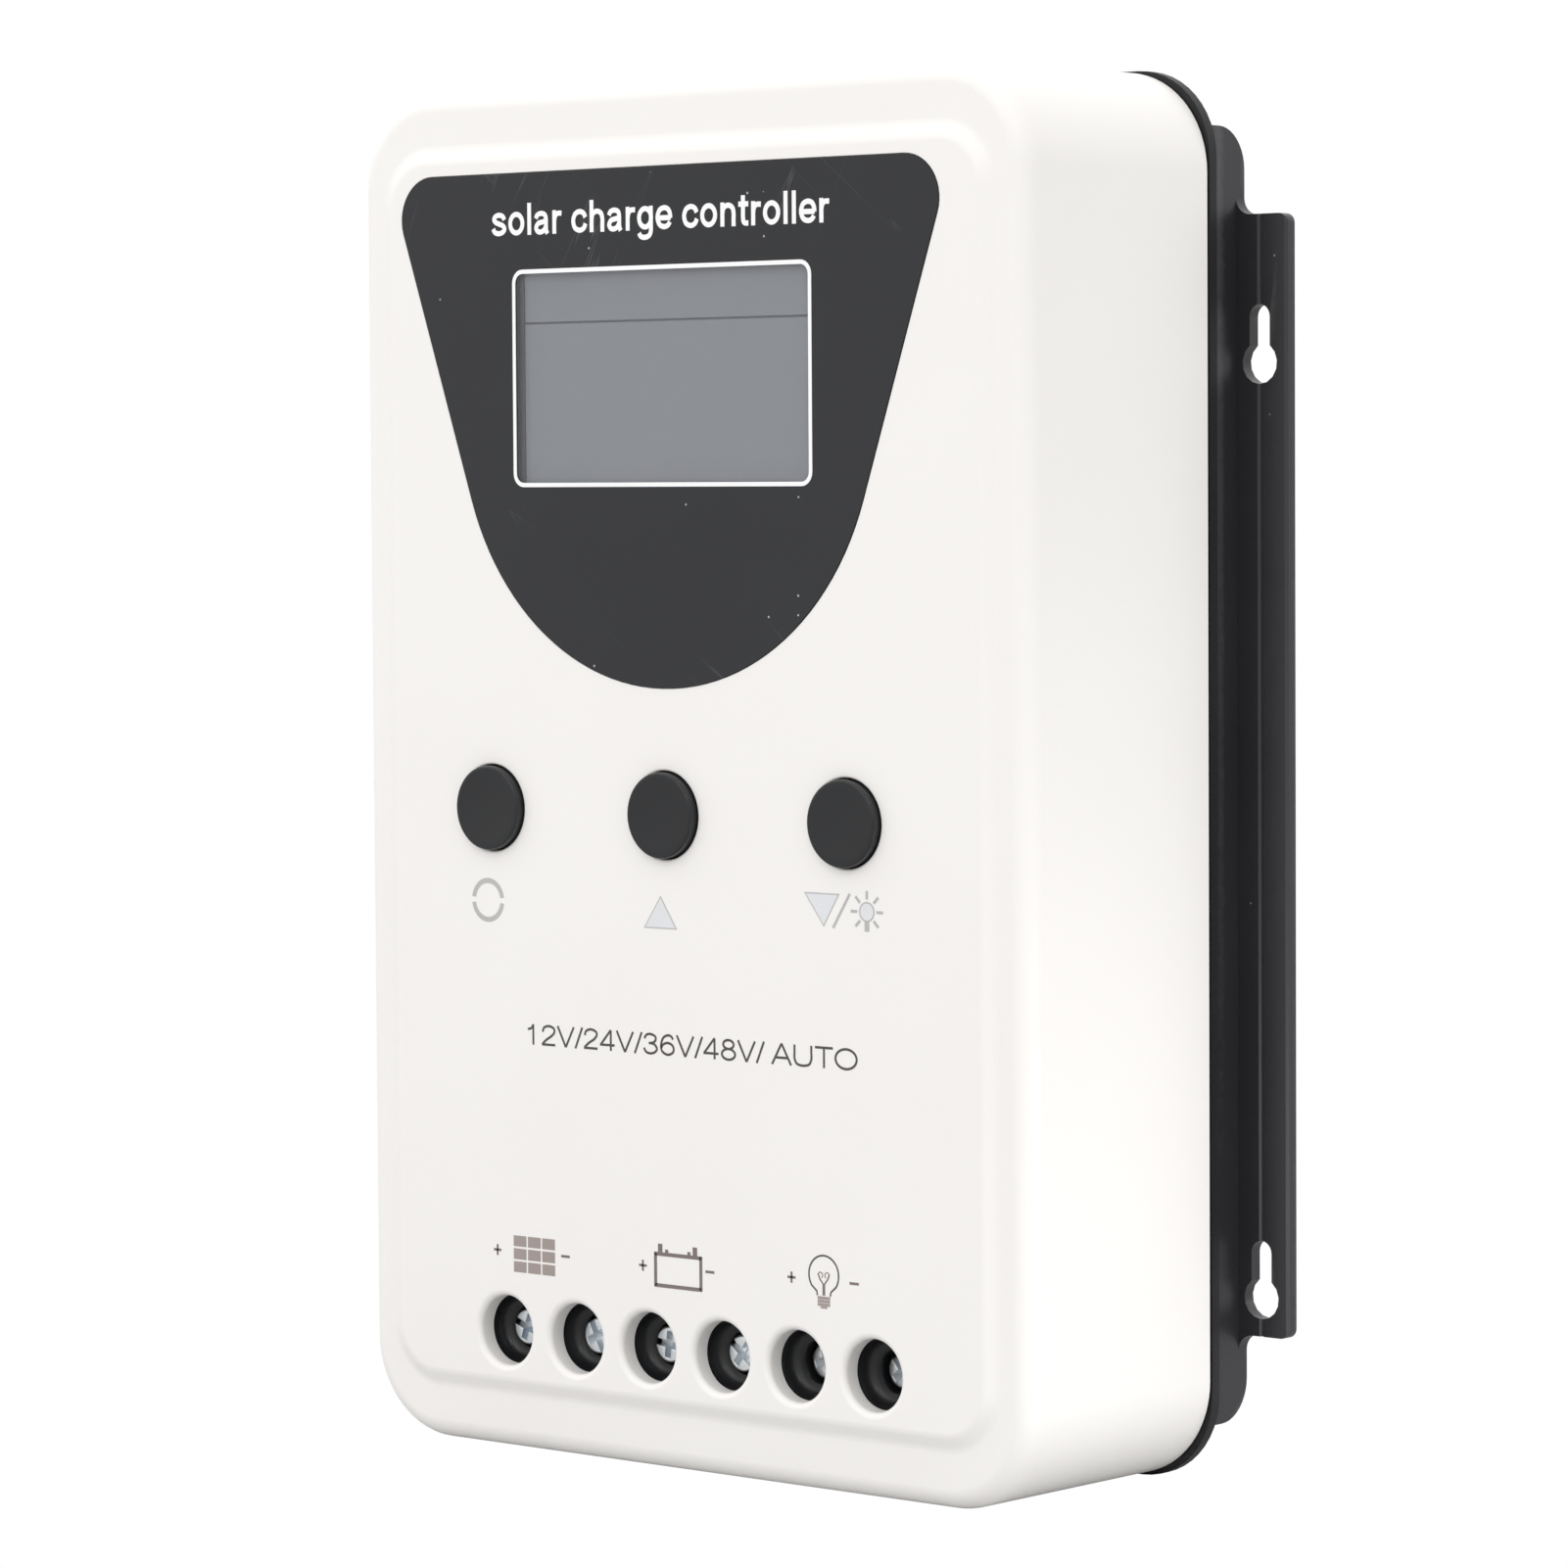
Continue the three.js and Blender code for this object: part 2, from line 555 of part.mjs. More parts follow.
/** A keyhole: a slot that ends in a round head below it, given the head's centre. */
function keyhole(x, z) {
  const slotRadius = KEYHOLE_SLOT_WIDTH / 2;
  const headRadius = KEYHOLE_HEAD_DIAMETER / 2;
  const meet = Math.asin(slotRadius / headRadius);
  const shape = new THREE.Shape();
  shape.absarc(x, z, headRadius, Math.PI / 2 + meet, Math.PI * 2.5 - meet, false);
  shape.absarc(x, z + KEYHOLE_RISE, slotRadius, 0, Math.PI, false);
  return shape;
}

/** The heatsink, cut to its outline from one extrusion. */
function heatsinkGeometry() {
  const length = COVER_HEIGHT - 2 * SINK_END_INSET;
  const bar = new THREE.ExtrudeGeometry(sinkSection(), { depth: length, bevelEnabled: false });
  bar.translate(0, 0, SINK_END_INSET);
  const middleZ = COVER_HEIGHT / 2;
  const endTools = [
    plate(flangeEndCut(), sinkFrontY, sinkBackY + 1),
    crossPlate(wallEndCut(), sinkHalfWidth - SINK_WALL - GAP, sinkHalfWidth + 1),
  ];
  // Each end tool cuts all four corners: as it is, and mirrored left to right and top to bottom.
  const cuts = [];
  for (const tool of endTools) {
    const otherSide = mirrored(tool, "x", 0);
    cuts.push(tool, otherSide, mirrored(tool, "z", middleZ), mirrored(otherSide, "z", middleZ));
  }
  for (const side of [-1, 1]) {
    const x = side * (sinkHalfWidth + KEYHOLE_OFFSET);
    const upperZ = COVER_HEIGHT - FLANGE_END_INSET - UPPER_KEYHOLE_DROP;
    const lowerZ = FLANGE_END_INSET + LOWER_KEYHOLE_RISE;
    for (const z of [upperZ, lowerZ]) {
      cuts.push(plate(keyhole(x, z), sinkBaseBackY, sinkBackY + 1));
    }
    for (const z of caseScrewZs) {
      const bore = CASE_SCREW_DIAMETER + HOLE_PLAY;
      const headRoom = CASE_SCREW_HEAD_DIAMETER + 4 * HOLE_PLAY;
      cuts.push(rod(side * caseScrewX, z, sinkFrontY - 1, sinkBackY, bore, SMALL_ROUND));
      cuts.push(rod(side * caseScrewX, z, sinkBaseBackY, sinkBackY + 1, headRoom, SMALL_ROUND));
    }
  }
  return carve([bar], cuts);
}

/** A copy of a closed geometry mirrored in a plane across one axis. */
function mirrored(geometry, axis, plane) {
  const scale = { x: 1, y: 1, z: 1, [axis]: -1 };
  const copy = geometry.index ? geometry.toNonIndexed() : geometry.clone();
  copy.scale(scale.x, scale.y, scale.z);
  copy.translate(...["x", "y", "z"].map((name) => (name === axis ? 2 * plane : 0)));
  // Mirroring turns every face inwards, so two corners of each triangle change places.
  const position = copy.getAttribute("position");
  const first = new THREE.Vector3();
  const second = new THREE.Vector3();
  for (let i = 0; i < position.count; i += 3) {
    first.fromBufferAttribute(position, i);
    second.fromBufferAttribute(position, i + 1);
    position.setXYZ(i, ...second);
    position.setXYZ(i + 1, ...first);
  }
  return copy;
}

/** A cross-recessed pan-head screw lying along Y, with its head behind y = 0 and its shank in front. */
function panHeadScrewGeometry(shank, length, head, headHeight) {
  const arm = head / 3;
  const wing = head / 14;
  const recess = box([-arm, headHeight / 2, -wing], [arm, headHeight + 1, wing]);
  const crossRecess = box([-wing, headHeight / 2, -arm], [wing, headHeight + 1, arm]);
  const body = turned(
    [
      [0, -length],
      [shank / 2, -length],
      [shank / 2, 0],
      [head / 2, 0],
      [head / 2, headHeight * 0.6],
      [head / 3, headHeight],
      [0, headHeight],
    ],
    SMALL_ROUND,
  );
  return carve([body], [recess, crossRecess]);
}

const casing = place(unit);
add(casing, "front_cover", frontCoverGeometry(), whitePlastic);
add(casing, "rear_frame", rearFrameGeometry(), blackPlastic);
add(casing, "heatsink", heatsinkGeometry(), blackAluminium);
const caseScrew = panHeadScrewGeometry(
  CASE_SCREW_DIAMETER,
  CASE_SCREW_LENGTH,
  CASE_SCREW_HEAD_DIAMETER,
  CASE_SCREW_HEAD_HEIGHT,
);
for (const [row, z] of [
  ["lower", caseScrewZs[0]],
  ["upper", caseScrewZs[1]],
]) {
  add(casing, `case_screw_${row}_left`, caseScrew, zinc, [-caseScrewX, sinkBaseBackY + GAP, z]);
  add(casing, `case_screw_${row}_right`, caseScrew, zinc, [caseScrewX, sinkBaseBackY + GAP, z]);
}

// ---------------------------------------------------------------- display

/** The black film with its window cut out. */
function displayPanelGeometry() {
  const frontY = raisedFaceY - PANEL_PROUD;
  const film = plate(panelOutline(0), frontY, frontY + PANEL_THICKNESS);
  const window = centredRect(DISPLAY_CENTRE_X, lcdZ, windowWidth, windowHeight, WINDOW_CORNER_RADIUS);
  return carve([film], [plate(window, frontY - 1, frontY + 1, { curveSegments: 3 })]);
}

/** A rectangular frame between two depths, centred on the display. */
function displayFrame(outer, inner, y0, y1) {
  const outside = plate(centredRect(0, 0, ...outer, 1), y0, y1, { curveSegments: 2 });
  const inside = plate(centredRect(0, 0, ...inner, 0.5), y0 - 1, y1 + 1, { curveSegments: 2 });
  return carve([outside], [inside]);
}

/** The display board with a screw hole in each corner. */
function displayBoardGeometry() {
  const board = plate(
    centredRect(0, 0, DISPLAY_BOARD_WIDTH, displayBoardLength, 2),
    DISPLAY_BOARD_FRONT_Y,
    displayBoardBackY,
    { curveSegments: 2 },
  );
  const bore = DISPLAY_SCREW_DIAMETER + HOLE_PLAY;
  const holes = [-displayScrewX, displayScrewX].flatMap((x) =>
    [-displayScrewZ, displayScrewZ].map((z) =>
      rod(x, z, DISPLAY_BOARD_FRONT_Y - 1, displayBoardBackY + 1, bore, SMALL_ROUND),
    ),
  );
  return carve([board], holes);
}

const display = place(unit, [DISPLAY_CENTRE_X, 0, lcdZ]);
const panelFrontY = raisedFaceY - PANEL_PROUD;
const windowPlay = 2 * PANEL_EDGE_GAP;
const clearWindow = plate(
  centredRect(0, 0, windowWidth - windowPlay, windowHeight - windowPlay, WINDOW_CORNER_RADIUS),
  panelFrontY,
  panelFrontY + PANEL_THICKNESS,
  { curveSegments: 3 },
);
const holderInner = [LCD_WIDTH + 2 * GAP, LCD_HEIGHT + 2 * GAP];
const holderOuter = holderInner.map((side) => side + 2 * HOLDER_WALL);
const holderFrontY = panelFrontY + PANEL_THICKNESS + GAP;
add(unit, "display_panel", displayPanelGeometry(), blackFilm);
add(display, "display_window", clearWindow, clearFilm);
const lcdModule = new THREE.BoxGeometry(LCD_WIDTH, LCD_THICKNESS, LCD_HEIGHT);
add(display, "lcd_module", lcdModule, displayGlass, [0, LCD_FRONT_Y + LCD_THICKNESS / 2, 0]);
add(
  display,
  "lcd_holder",
  displayFrame(holderOuter, holderInner, holderFrontY, DISPLAY_BOARD_FRONT_Y - GAP),
  blackPlastic,
);
const displayBoard = place(unit, [DISPLAY_CENTRE_X, 0, displayBoardZ]);
add(displayBoard, "display_board", displayBoardGeometry(), greenBoard);
const boardScrew = panHeadScrewGeometry(
  DISPLAY_SCREW_DIAMETER,
  DISPLAY_SCREW_LENGTH,
  DISPLAY_SCREW_HEAD_DIAMETER,
  DISPLAY_SCREW_HEAD_HEIGHT,
);
for (const [row, z] of [
  ["lower", -displayScrewZ],
  ["upper", displayScrewZ],
]) {
  for (const [side, x] of [
    ["left", -displayScrewX],
    ["right", displayScrewX],
  ]) {
    add(displayBoard, `display_screw_${row}_${side}`, boardScrew, zinc, [x, displayBoardBackY + GAP, z]);
  }
}

// ---------------------------------------------------------------- push buttons

const switchFrontY = DISPLAY_BOARD_FRONT_Y - GAP - SWITCH_HEIGHT;
const plungerBackY = switchFrontY + PLUNGER_SUNK;
const capFlangeFrontY = innerFaceY + GAP;
const capFlangeBackY = capFlangeFrontY + BUTTON_FLANGE_THICKNESS;
const plungerFrontY = capFlangeBackY + 2 * GAP;

/** A round cap with a softened front edge and a flange that keeps it in its hole. */
function buttonCapGeometry() {
  const r = BUTTON_DIAMETER / 2;
  const edge = BUTTON_EDGE_RADIUS;
  return turned([
    [0, buttonFrontY],
    [r - edge, buttonFrontY],
    [r - edge * 0.3, buttonFrontY + edge * 0.3],
    [r, buttonFrontY + edge],
    [r, capFlangeFrontY],
    [r + BUTTON_FLANGE_WIDTH, capFlangeFrontY],
    [r + BUTTON_FLANGE_WIDTH, capFlangeBackY],
    [BUTTON_STEM_DIAMETER / 2, capFlangeBackY],
    [BUTTON_STEM_DIAMETER / 2, capFlangeBackY + GAP],
    [0, capFlangeBackY + GAP],
  ]);
}

/** A tactile switch's square body with the blind hole that its plunger slides in. */
function switchGeometry() {
  const half = SWITCH_SIZE / 2;
  const body = box([-half, switchFrontY, -half], [half, DISPLAY_BOARD_FRONT_Y - GAP, half]);
  const holeDiameter = PLUNGER_DIAMETER + 2 * GAP;
  return carve([body], [rod(0, 0, switchFrontY - 1, plungerBackY + 1, holeDiameter, SMALL_ROUND)]);
}

const buttonCap = buttonCapGeometry();
const buttonPlunger = rod(0, 0, plungerFrontY, plungerBackY, PLUNGER_DIAMETER, SMALL_ROUND);
const buttonSwitch = switchGeometry();
["cycle", "up", "down"].forEach((name, i) => {
  const seat = place(unit, [buttonXs[i], 0, buttonZ]);
  add(seat, `button_cap_${name}`, buttonCap, blackPlastic);
  add(seat, `button_plunger_${name}`, buttonPlunger, nylon);
  add(seat, `button_switch_${name}`, buttonSwitch, blackPlastic);
});

// ---------------------------------------------------------------- screw terminals

/** A two-pole block: a screw funnel and bore, a cavity for each contact and a wire mouth at the bottom. */
function terminalBlockGeometry() {
  const halfWidth = TERMINAL_PITCH - GAP / 2;
  const bottomZ = SIDE_WALL + BLOCK_FLOOR_GAP - TERMINAL_BOTTOM_MARGIN;
  const body = box([-halfWidth, blockFrontY, bottomZ], [halfWidth, blockBackY, BLOCK_TOP_REACH]);
  const cuts = [];
  for (const x of [-TERMINAL_PITCH / 2, TERMINAL_PITCH / 2]) {
    const cavity = CONTACT_WIDTH / 2 + GAP;
    const mouth = WIRE_ENTRY_WIDTH / 2;
    cuts.push(
      rod(x, 0, blockFrontY, funnelBackY, TERMINAL_HOLE_DIAMETER, ROUND, SCREW_BORE_DIAMETER),
      rod(x, 0, funnelBackY, contactFrontY, SCREW_BORE_DIAMETER),
      box(
        [x - cavity, contactFrontY - GAP, -contactHalfLength - GAP],
        [x + cavity, blockBackY + 1, contactHalfLength + GAP],
      ),
      box([x - mouth, wireEntryFrontY, bottomZ - 1], [x + mouth, blockBackY + 1, -contactHalfLength]),
    );
  }
  return carve([body], cuts);
}

/** A brass box that the wire goes into, with a threaded bridge in front and a pin to the board behind. */
function contactGeometry() {
  const half = CONTACT_WIDTH / 2;
  const pin = CONTACT_PIN_WIDTH / 2;
  const shell = box(
    [-half, contactFrontY, -contactHalfLength],
    [half, contactFloorY + CONTACT_BRIDGE, contactHalfLength],
  );
  const tail = box([-pin, contactFloorY + CONTACT_WALL, -CONTACT_WALL], [pin, blockBackY, CONTACT_WALL]);
  const channel = box(
    [CONTACT_WALL - half, contactFrontY + CONTACT_BRIDGE, -CONTACT_LENGTH],
    [half - CONTACT_WALL, contactFloorY, CONTACT_LENGTH],
  );
  const thread = rod(0, 0, contactFrontY - 1, contactFrontY + 2 * CONTACT_BRIDGE, threadBore, SMALL_ROUND);
  return carve([shell, tail], [channel, thread]);
}

/** A terminal screw with a combined cross and slot, measured from the front of its head. */
function terminalScrewGeometry() {
  const r = SCREW_HEAD_DIAMETER / 2;
  const edge = SCREW_HEAD_HEIGHT / 6;
  const shank = SCREW_SHANK_DIAMETER / 2;
  const body = turned([
    [0, 0],
    [r - edge, 0],
    [r, edge],
    [r, SCREW_HEAD_HEIGHT],
    [shank, SCREW_HEAD_HEIGHT],
    [shank, SCREW_HEAD_HEIGHT + SCREW_SHANK_LENGTH],
    [0, SCREW_HEAD_HEIGHT + SCREW_SHANK_LENGTH],
  ]);
  const slotHalf = SCREW_HEAD_DIAMETER / 12;
  const slot = box([-r - 1, -1, -slotHalf], [r + 1, SCREW_HEAD_HEIGHT / 2, slotHalf]);
  const cross = box([-slotHalf, -1, -0.62 * r], [slotHalf, SCREW_HEAD_HEIGHT / 2, 0.62 * r]);
  return carve([body], [slot, cross]);
}

const contactHead = place(unit, [0, 0, TERMINAL_BOTTOM_MARGIN]);
const block = terminalBlockGeometry();
const contact = contactGeometry();
const terminalScrew = terminalScrewGeometry();
const plateHalfWidth = CONTACT_WIDTH / 2 - CONTACT_WALL - GAP;
const clampPlate = box(
  [-plateHalfWidth, 0, -CLAMP_PLATE_LENGTH / 2],
  [plateHalfWidth, CLAMP_PLATE_THICKNESS, CLAMP_PLATE_LENGTH / 2],
);
["solar", "battery", "load"].forEach((circuit, pair) => {
  const turnsIn = circuit === "load" ? LOAD_TURNS_IN : 0;
  const headY = raisedFaceY + SCREW_HEAD_DEPTH + turnsIn * THREAD_PITCH;
  const plateY = headY + SCREW_HEAD_HEIGHT + SCREW_SHANK_LENGTH + GAP;
  const blockX = (terminalXs[2 * pair] + terminalXs[2 * pair + 1]) / 2;
  add(contactHead, `terminal_block_${circuit}`, block, blackPlastic, [blockX, 0, 0]);
  ["plus", "minus"].forEach((pole, side) => {
    const x = terminalXs[2 * pair + side];
    add(contactHead, `terminal_contact_${circuit}_${pole}`, contact, brass, [x, 0, 0]);
    add(contactHead, `clamp_plate_${circuit}_${pole}`, clampPlate, zinc, [x, plateY, 0]);
    add(contactHead, `terminal_screw_${circuit}_${pole}`, terminalScrew, zinc, [x, headY, 0]);
  });
});

// ---------------------------------------------------------------- main board

const mainBoardHeight = COVER_HEIGHT - 2 * (SIDE_WALL + MAIN_BOARD_END_MARGIN);
const postX = COVER_WIDTH / 2 - FRAME_RAIL - POST_INSET_X;
const postZs = [POST_LOWER_Z, COVER_HEIGHT - POST_UPPER_MARGIN];

/** The main board with a hole for each nylon post. */
function mainBoardGeometry() {
  const outline = centredRect(0, COVER_HEIGHT / 2, mainBoardWidth, mainBoardHeight, 2);
  const board = plate(outline, MAIN_BOARD_FRONT_Y, mainBoardBackY, { curveSegments: 2 });
  const holes = [-postX, postX].flatMap((x) =>
    postZs.map((z) =>
      rod(x, z, MAIN_BOARD_FRONT_Y - 1, mainBoardBackY + 1, POST_PEG_DIAMETER + 2 * GAP, SMALL_ROUND),
    ),
  );
  return carve([board], holes);
}

/** A nylon post with a peg that snaps through the board. */
function boardPostGeometry() {
  const peg = POST_PEG_DIAMETER / 2;
  const r = POST_DIAMETER / 2;
  return turned(
    [
      [0, MAIN_BOARD_FRONT_Y - 2 * POST_PEG_REACH],
      [peg, MAIN_BOARD_FRONT_Y - POST_PEG_REACH],
      [peg, mainBoardBackY + GAP],
      [r, mainBoardBackY + GAP],
      [r, sinkFrontY - GAP],
      [0, sinkFrontY - GAP],
    ],
    SMALL_ROUND,
  );
}

/** A power transistor flat on its pad, with its legs running forward to the board. */
function mosfetGeometry() {
  const half = MOSFET_WIDTH / 2;
  const backY = sinkFrontY - PAD_THICKNESS - 2 * GAP;
  const frontY = backY - MOSFET_THICKNESS;
  const body = box([-half, frontY, 0], [half, backY, MOSFET_LENGTH]);
  const legHalf = MOSFET_LEG_WIDTH / 2;
  const legs = [-MOSFET_LEG_PITCH, 0, MOSFET_LEG_PITCH].map((x) =>
    box([x - legHalf, mainBoardBackY + GAP, 1], [x + legHalf, frontY + 1, 1 + MOSFET_LEG_WIDTH]),
  );
  const holeZ = MOSFET_LENGTH - MOSFET_HOLE_DIAMETER;
  const hole = rod(0, holeZ, frontY - 1, backY + 1, MOSFET_HOLE_DIAMETER, SMALL_ROUND);
  return carve([body, ...legs], [hole]);
}

/** A ribbon between the two boards, with a plug at each end. */
function ribbonGeometry() {
  const frontY = displayBoardBackY + GAP;
  const backY = MAIN_BOARD_FRONT_Y - GAP;
  const half = RIBBON_WIDTH / 2;
  const strip = box([-half, frontY + 1, 0], [half, backY - 1, RIBBON_THICKNESS]);
  const plugs = [frontY, backY - PLUG_THICKNESS].map((y) => {
    const plug = new THREE.BoxGeometry(RIBBON_WIDTH + 2, PLUG_THICKNESS, PLUG_HEIGHT);
    return plug.translate(0, y + PLUG_THICKNESS / 2, RIBBON_THICKNESS / 2);
  });
  return carve([strip, ...plugs]);
}

const electronics = place(unit);
add(electronics, "main_board", mainBoardGeometry(), greenBoard);
const boardPost = boardPostGeometry();
for (const [row, z] of [
  ["lower", postZs[0]],
  ["upper", postZs[1]],
]) {
  add(electronics, `board_post_${row}_left`, boardPost, nylon, [-postX, 0, z]);
  add(electronics, `board_post_${row}_right`, boardPost, nylon, [postX, 0, z]);
}
const mosfet = mosfetGeometry();
for (let i = 0; i < MOSFET_COUNT; i++) {
  const x = (i - (MOSFET_COUNT - 1) / 2) * MOSFET_PITCH;
  add(electronics, `mosfet_${i + 1}`, mosfet, blackPlastic, [x, 0, MOSFET_Z]);
}
const padHalf = ((MOSFET_COUNT - 1) * MOSFET_PITCH + MOSFET_WIDTH) / 2 + PAD_MARGIN;
add(
  electronics,
  "insulating_pad",
  box(
    [-padHalf, sinkFrontY - PAD_THICKNESS - GAP, MOSFET_Z - PAD_MARGIN],
    [padHalf, sinkFrontY - GAP, MOSFET_Z + MOSFET_LENGTH + PAD_MARGIN],
  ),
  greyPad,
);
const capacitorFrontY = displayBoardBackY + CAPACITOR_HEADROOM;
const capacitor = rod(0, 0, capacitorFrontY, MAIN_BOARD_FRONT_Y - GAP, CAPACITOR_DIAMETER);
for (const [name, x] of [
  ["input", -CAPACITOR_SPACING / 2],
  ["output", CAPACITOR_SPACING / 2],
]) {
  add(electronics, `capacitor_${name}`, capacitor, blackPlastic, [x, 0, CAPACITOR_Z]);
}
add(electronics, "ribbon_cable", ribbonGeometry(), ribbonGrey, [0, 0, displayBoardTopZ - PLUG_HEIGHT * 2]);
const chipY = MAIN_BOARD_FRONT_Y - GAP - CHIP_THICKNESS;
add(
  electronics,
  "controller_chip",
  box([-CHIP_SIZE / 2, chipY, -CHIP_SIZE / 2], [CHIP_SIZE / 2, chipY + CHIP_THICKNESS, CHIP_SIZE / 2]),
  blackPlastic,
  [0, 0, COVER_HEIGHT / 2],
);

// The origin moves to the centre of the bottom of everything above.
const bounds = new THREE.Box3().setFromObject(unit);
unit.position.set(0, -(bounds.min.y + bounds.max.y) / 2, -bounds.min.z);

export default unit;
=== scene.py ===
"""The looks of a wall-mounted solar charge controller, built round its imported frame.

Lengths in the piece classes are millimetres in the casing's own terms: x runs right from the middle, y runs
back from the cover's flat border and z runs up from the cover's bottom. Datum turns them into the frame's
metres.
"""

import json
import logging
import math
from dataclasses import dataclass, field
from enum import Enum
from functools import cache, partial
from typing import Callable

import bmesh
import bpy
from mathutils import Matrix, Vector

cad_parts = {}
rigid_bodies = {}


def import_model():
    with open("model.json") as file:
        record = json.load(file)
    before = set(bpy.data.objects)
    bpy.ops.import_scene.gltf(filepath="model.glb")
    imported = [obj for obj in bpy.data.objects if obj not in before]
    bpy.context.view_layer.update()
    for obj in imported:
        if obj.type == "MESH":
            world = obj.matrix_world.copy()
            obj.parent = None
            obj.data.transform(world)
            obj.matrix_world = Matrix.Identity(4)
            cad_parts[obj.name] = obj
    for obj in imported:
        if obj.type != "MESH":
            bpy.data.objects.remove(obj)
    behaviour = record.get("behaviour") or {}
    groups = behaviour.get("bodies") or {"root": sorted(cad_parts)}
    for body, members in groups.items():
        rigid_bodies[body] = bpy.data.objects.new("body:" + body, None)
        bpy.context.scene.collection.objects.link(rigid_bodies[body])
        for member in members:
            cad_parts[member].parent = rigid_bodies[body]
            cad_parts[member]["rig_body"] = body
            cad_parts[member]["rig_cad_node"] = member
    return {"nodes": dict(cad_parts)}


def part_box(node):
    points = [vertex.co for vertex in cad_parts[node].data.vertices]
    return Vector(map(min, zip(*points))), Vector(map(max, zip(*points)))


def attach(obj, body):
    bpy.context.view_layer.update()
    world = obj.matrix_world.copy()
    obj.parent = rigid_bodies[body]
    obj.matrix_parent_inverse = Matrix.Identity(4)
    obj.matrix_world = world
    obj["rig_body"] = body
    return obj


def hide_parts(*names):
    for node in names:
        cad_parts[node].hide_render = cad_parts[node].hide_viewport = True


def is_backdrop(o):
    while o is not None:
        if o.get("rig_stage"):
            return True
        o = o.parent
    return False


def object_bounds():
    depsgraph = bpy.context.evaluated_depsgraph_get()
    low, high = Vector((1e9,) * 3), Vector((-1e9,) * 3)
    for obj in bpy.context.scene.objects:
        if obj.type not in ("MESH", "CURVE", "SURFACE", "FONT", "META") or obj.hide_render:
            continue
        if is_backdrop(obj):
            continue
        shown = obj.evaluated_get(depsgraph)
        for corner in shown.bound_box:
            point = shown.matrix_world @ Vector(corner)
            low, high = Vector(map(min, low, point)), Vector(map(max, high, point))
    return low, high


LOG = logging.getLogger("charge_controller")
MM = 0.001
HOUSING = "housing"
DISPLAY_Z = 157.6
TERMINAL_Z = 17.6
SAME_PLACE = 1e-6
CORNERS = ("lower_left", "lower_right", "upper_left", "upper_right")

Pair = tuple[float, float]
Colour = tuple[float, float, float]
Piece = bpy.types.Object
Socket = bpy.types.NodeSocket


def spin(turn: float, centre: Vector) -> Matrix:
    """A turn about a line along Y through a point."""
    return Matrix.Translation(centre) @ Matrix.Rotation(turn, 4, "Y") @ Matrix.Translation(-centre)


def rolled_edge(radius: float, front: float, edge: float, step: int) -> list[Pair]:
    """Radius and y along a quarter-round edge, from a front face out to a side.

    Args:
        radius: of the side.
        front: y of the front face.
        edge: radius of the rounding; below zero it flares outwards.
        step: degrees from point to point.

    Returns:
        The points of the edge.
    """
    turns = [math.radians(degrees) for degrees in range(0, 91, step)]
    return [(radius - edge * (1 - math.sin(t)), front + abs(edge) * (1 - math.cos(t))) for t in turns]


# ---------------------------------------------------------------- bench: places and edit-mode moves


@dataclass(frozen=True)
class Datum:
    """Where the casing's own origin lies in the frame."""

    face_y: float
    bottom_z: float
    face_rise: float = 1.0

    @classmethod
    def from_frame(cls) -> "Datum":
        """Reads the datum from the cover's box."""
        low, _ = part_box("front_cover")
        return cls(face_y=low.y, bottom_z=low.z)

    def at(self, x: float, y: float, z: float) -> Vector:
        """Turns a place in millimetres into the frame's metres.

        Args:
            x: distance right of the middle.
            y: distance behind the cover's flat border.
            z: height over the cover's bottom.

        Returns:
            The same place in the frame.
        """
        return Vector((x * MM, self.face_y + (y + self.face_rise) * MM, self.bottom_z + z * MM))


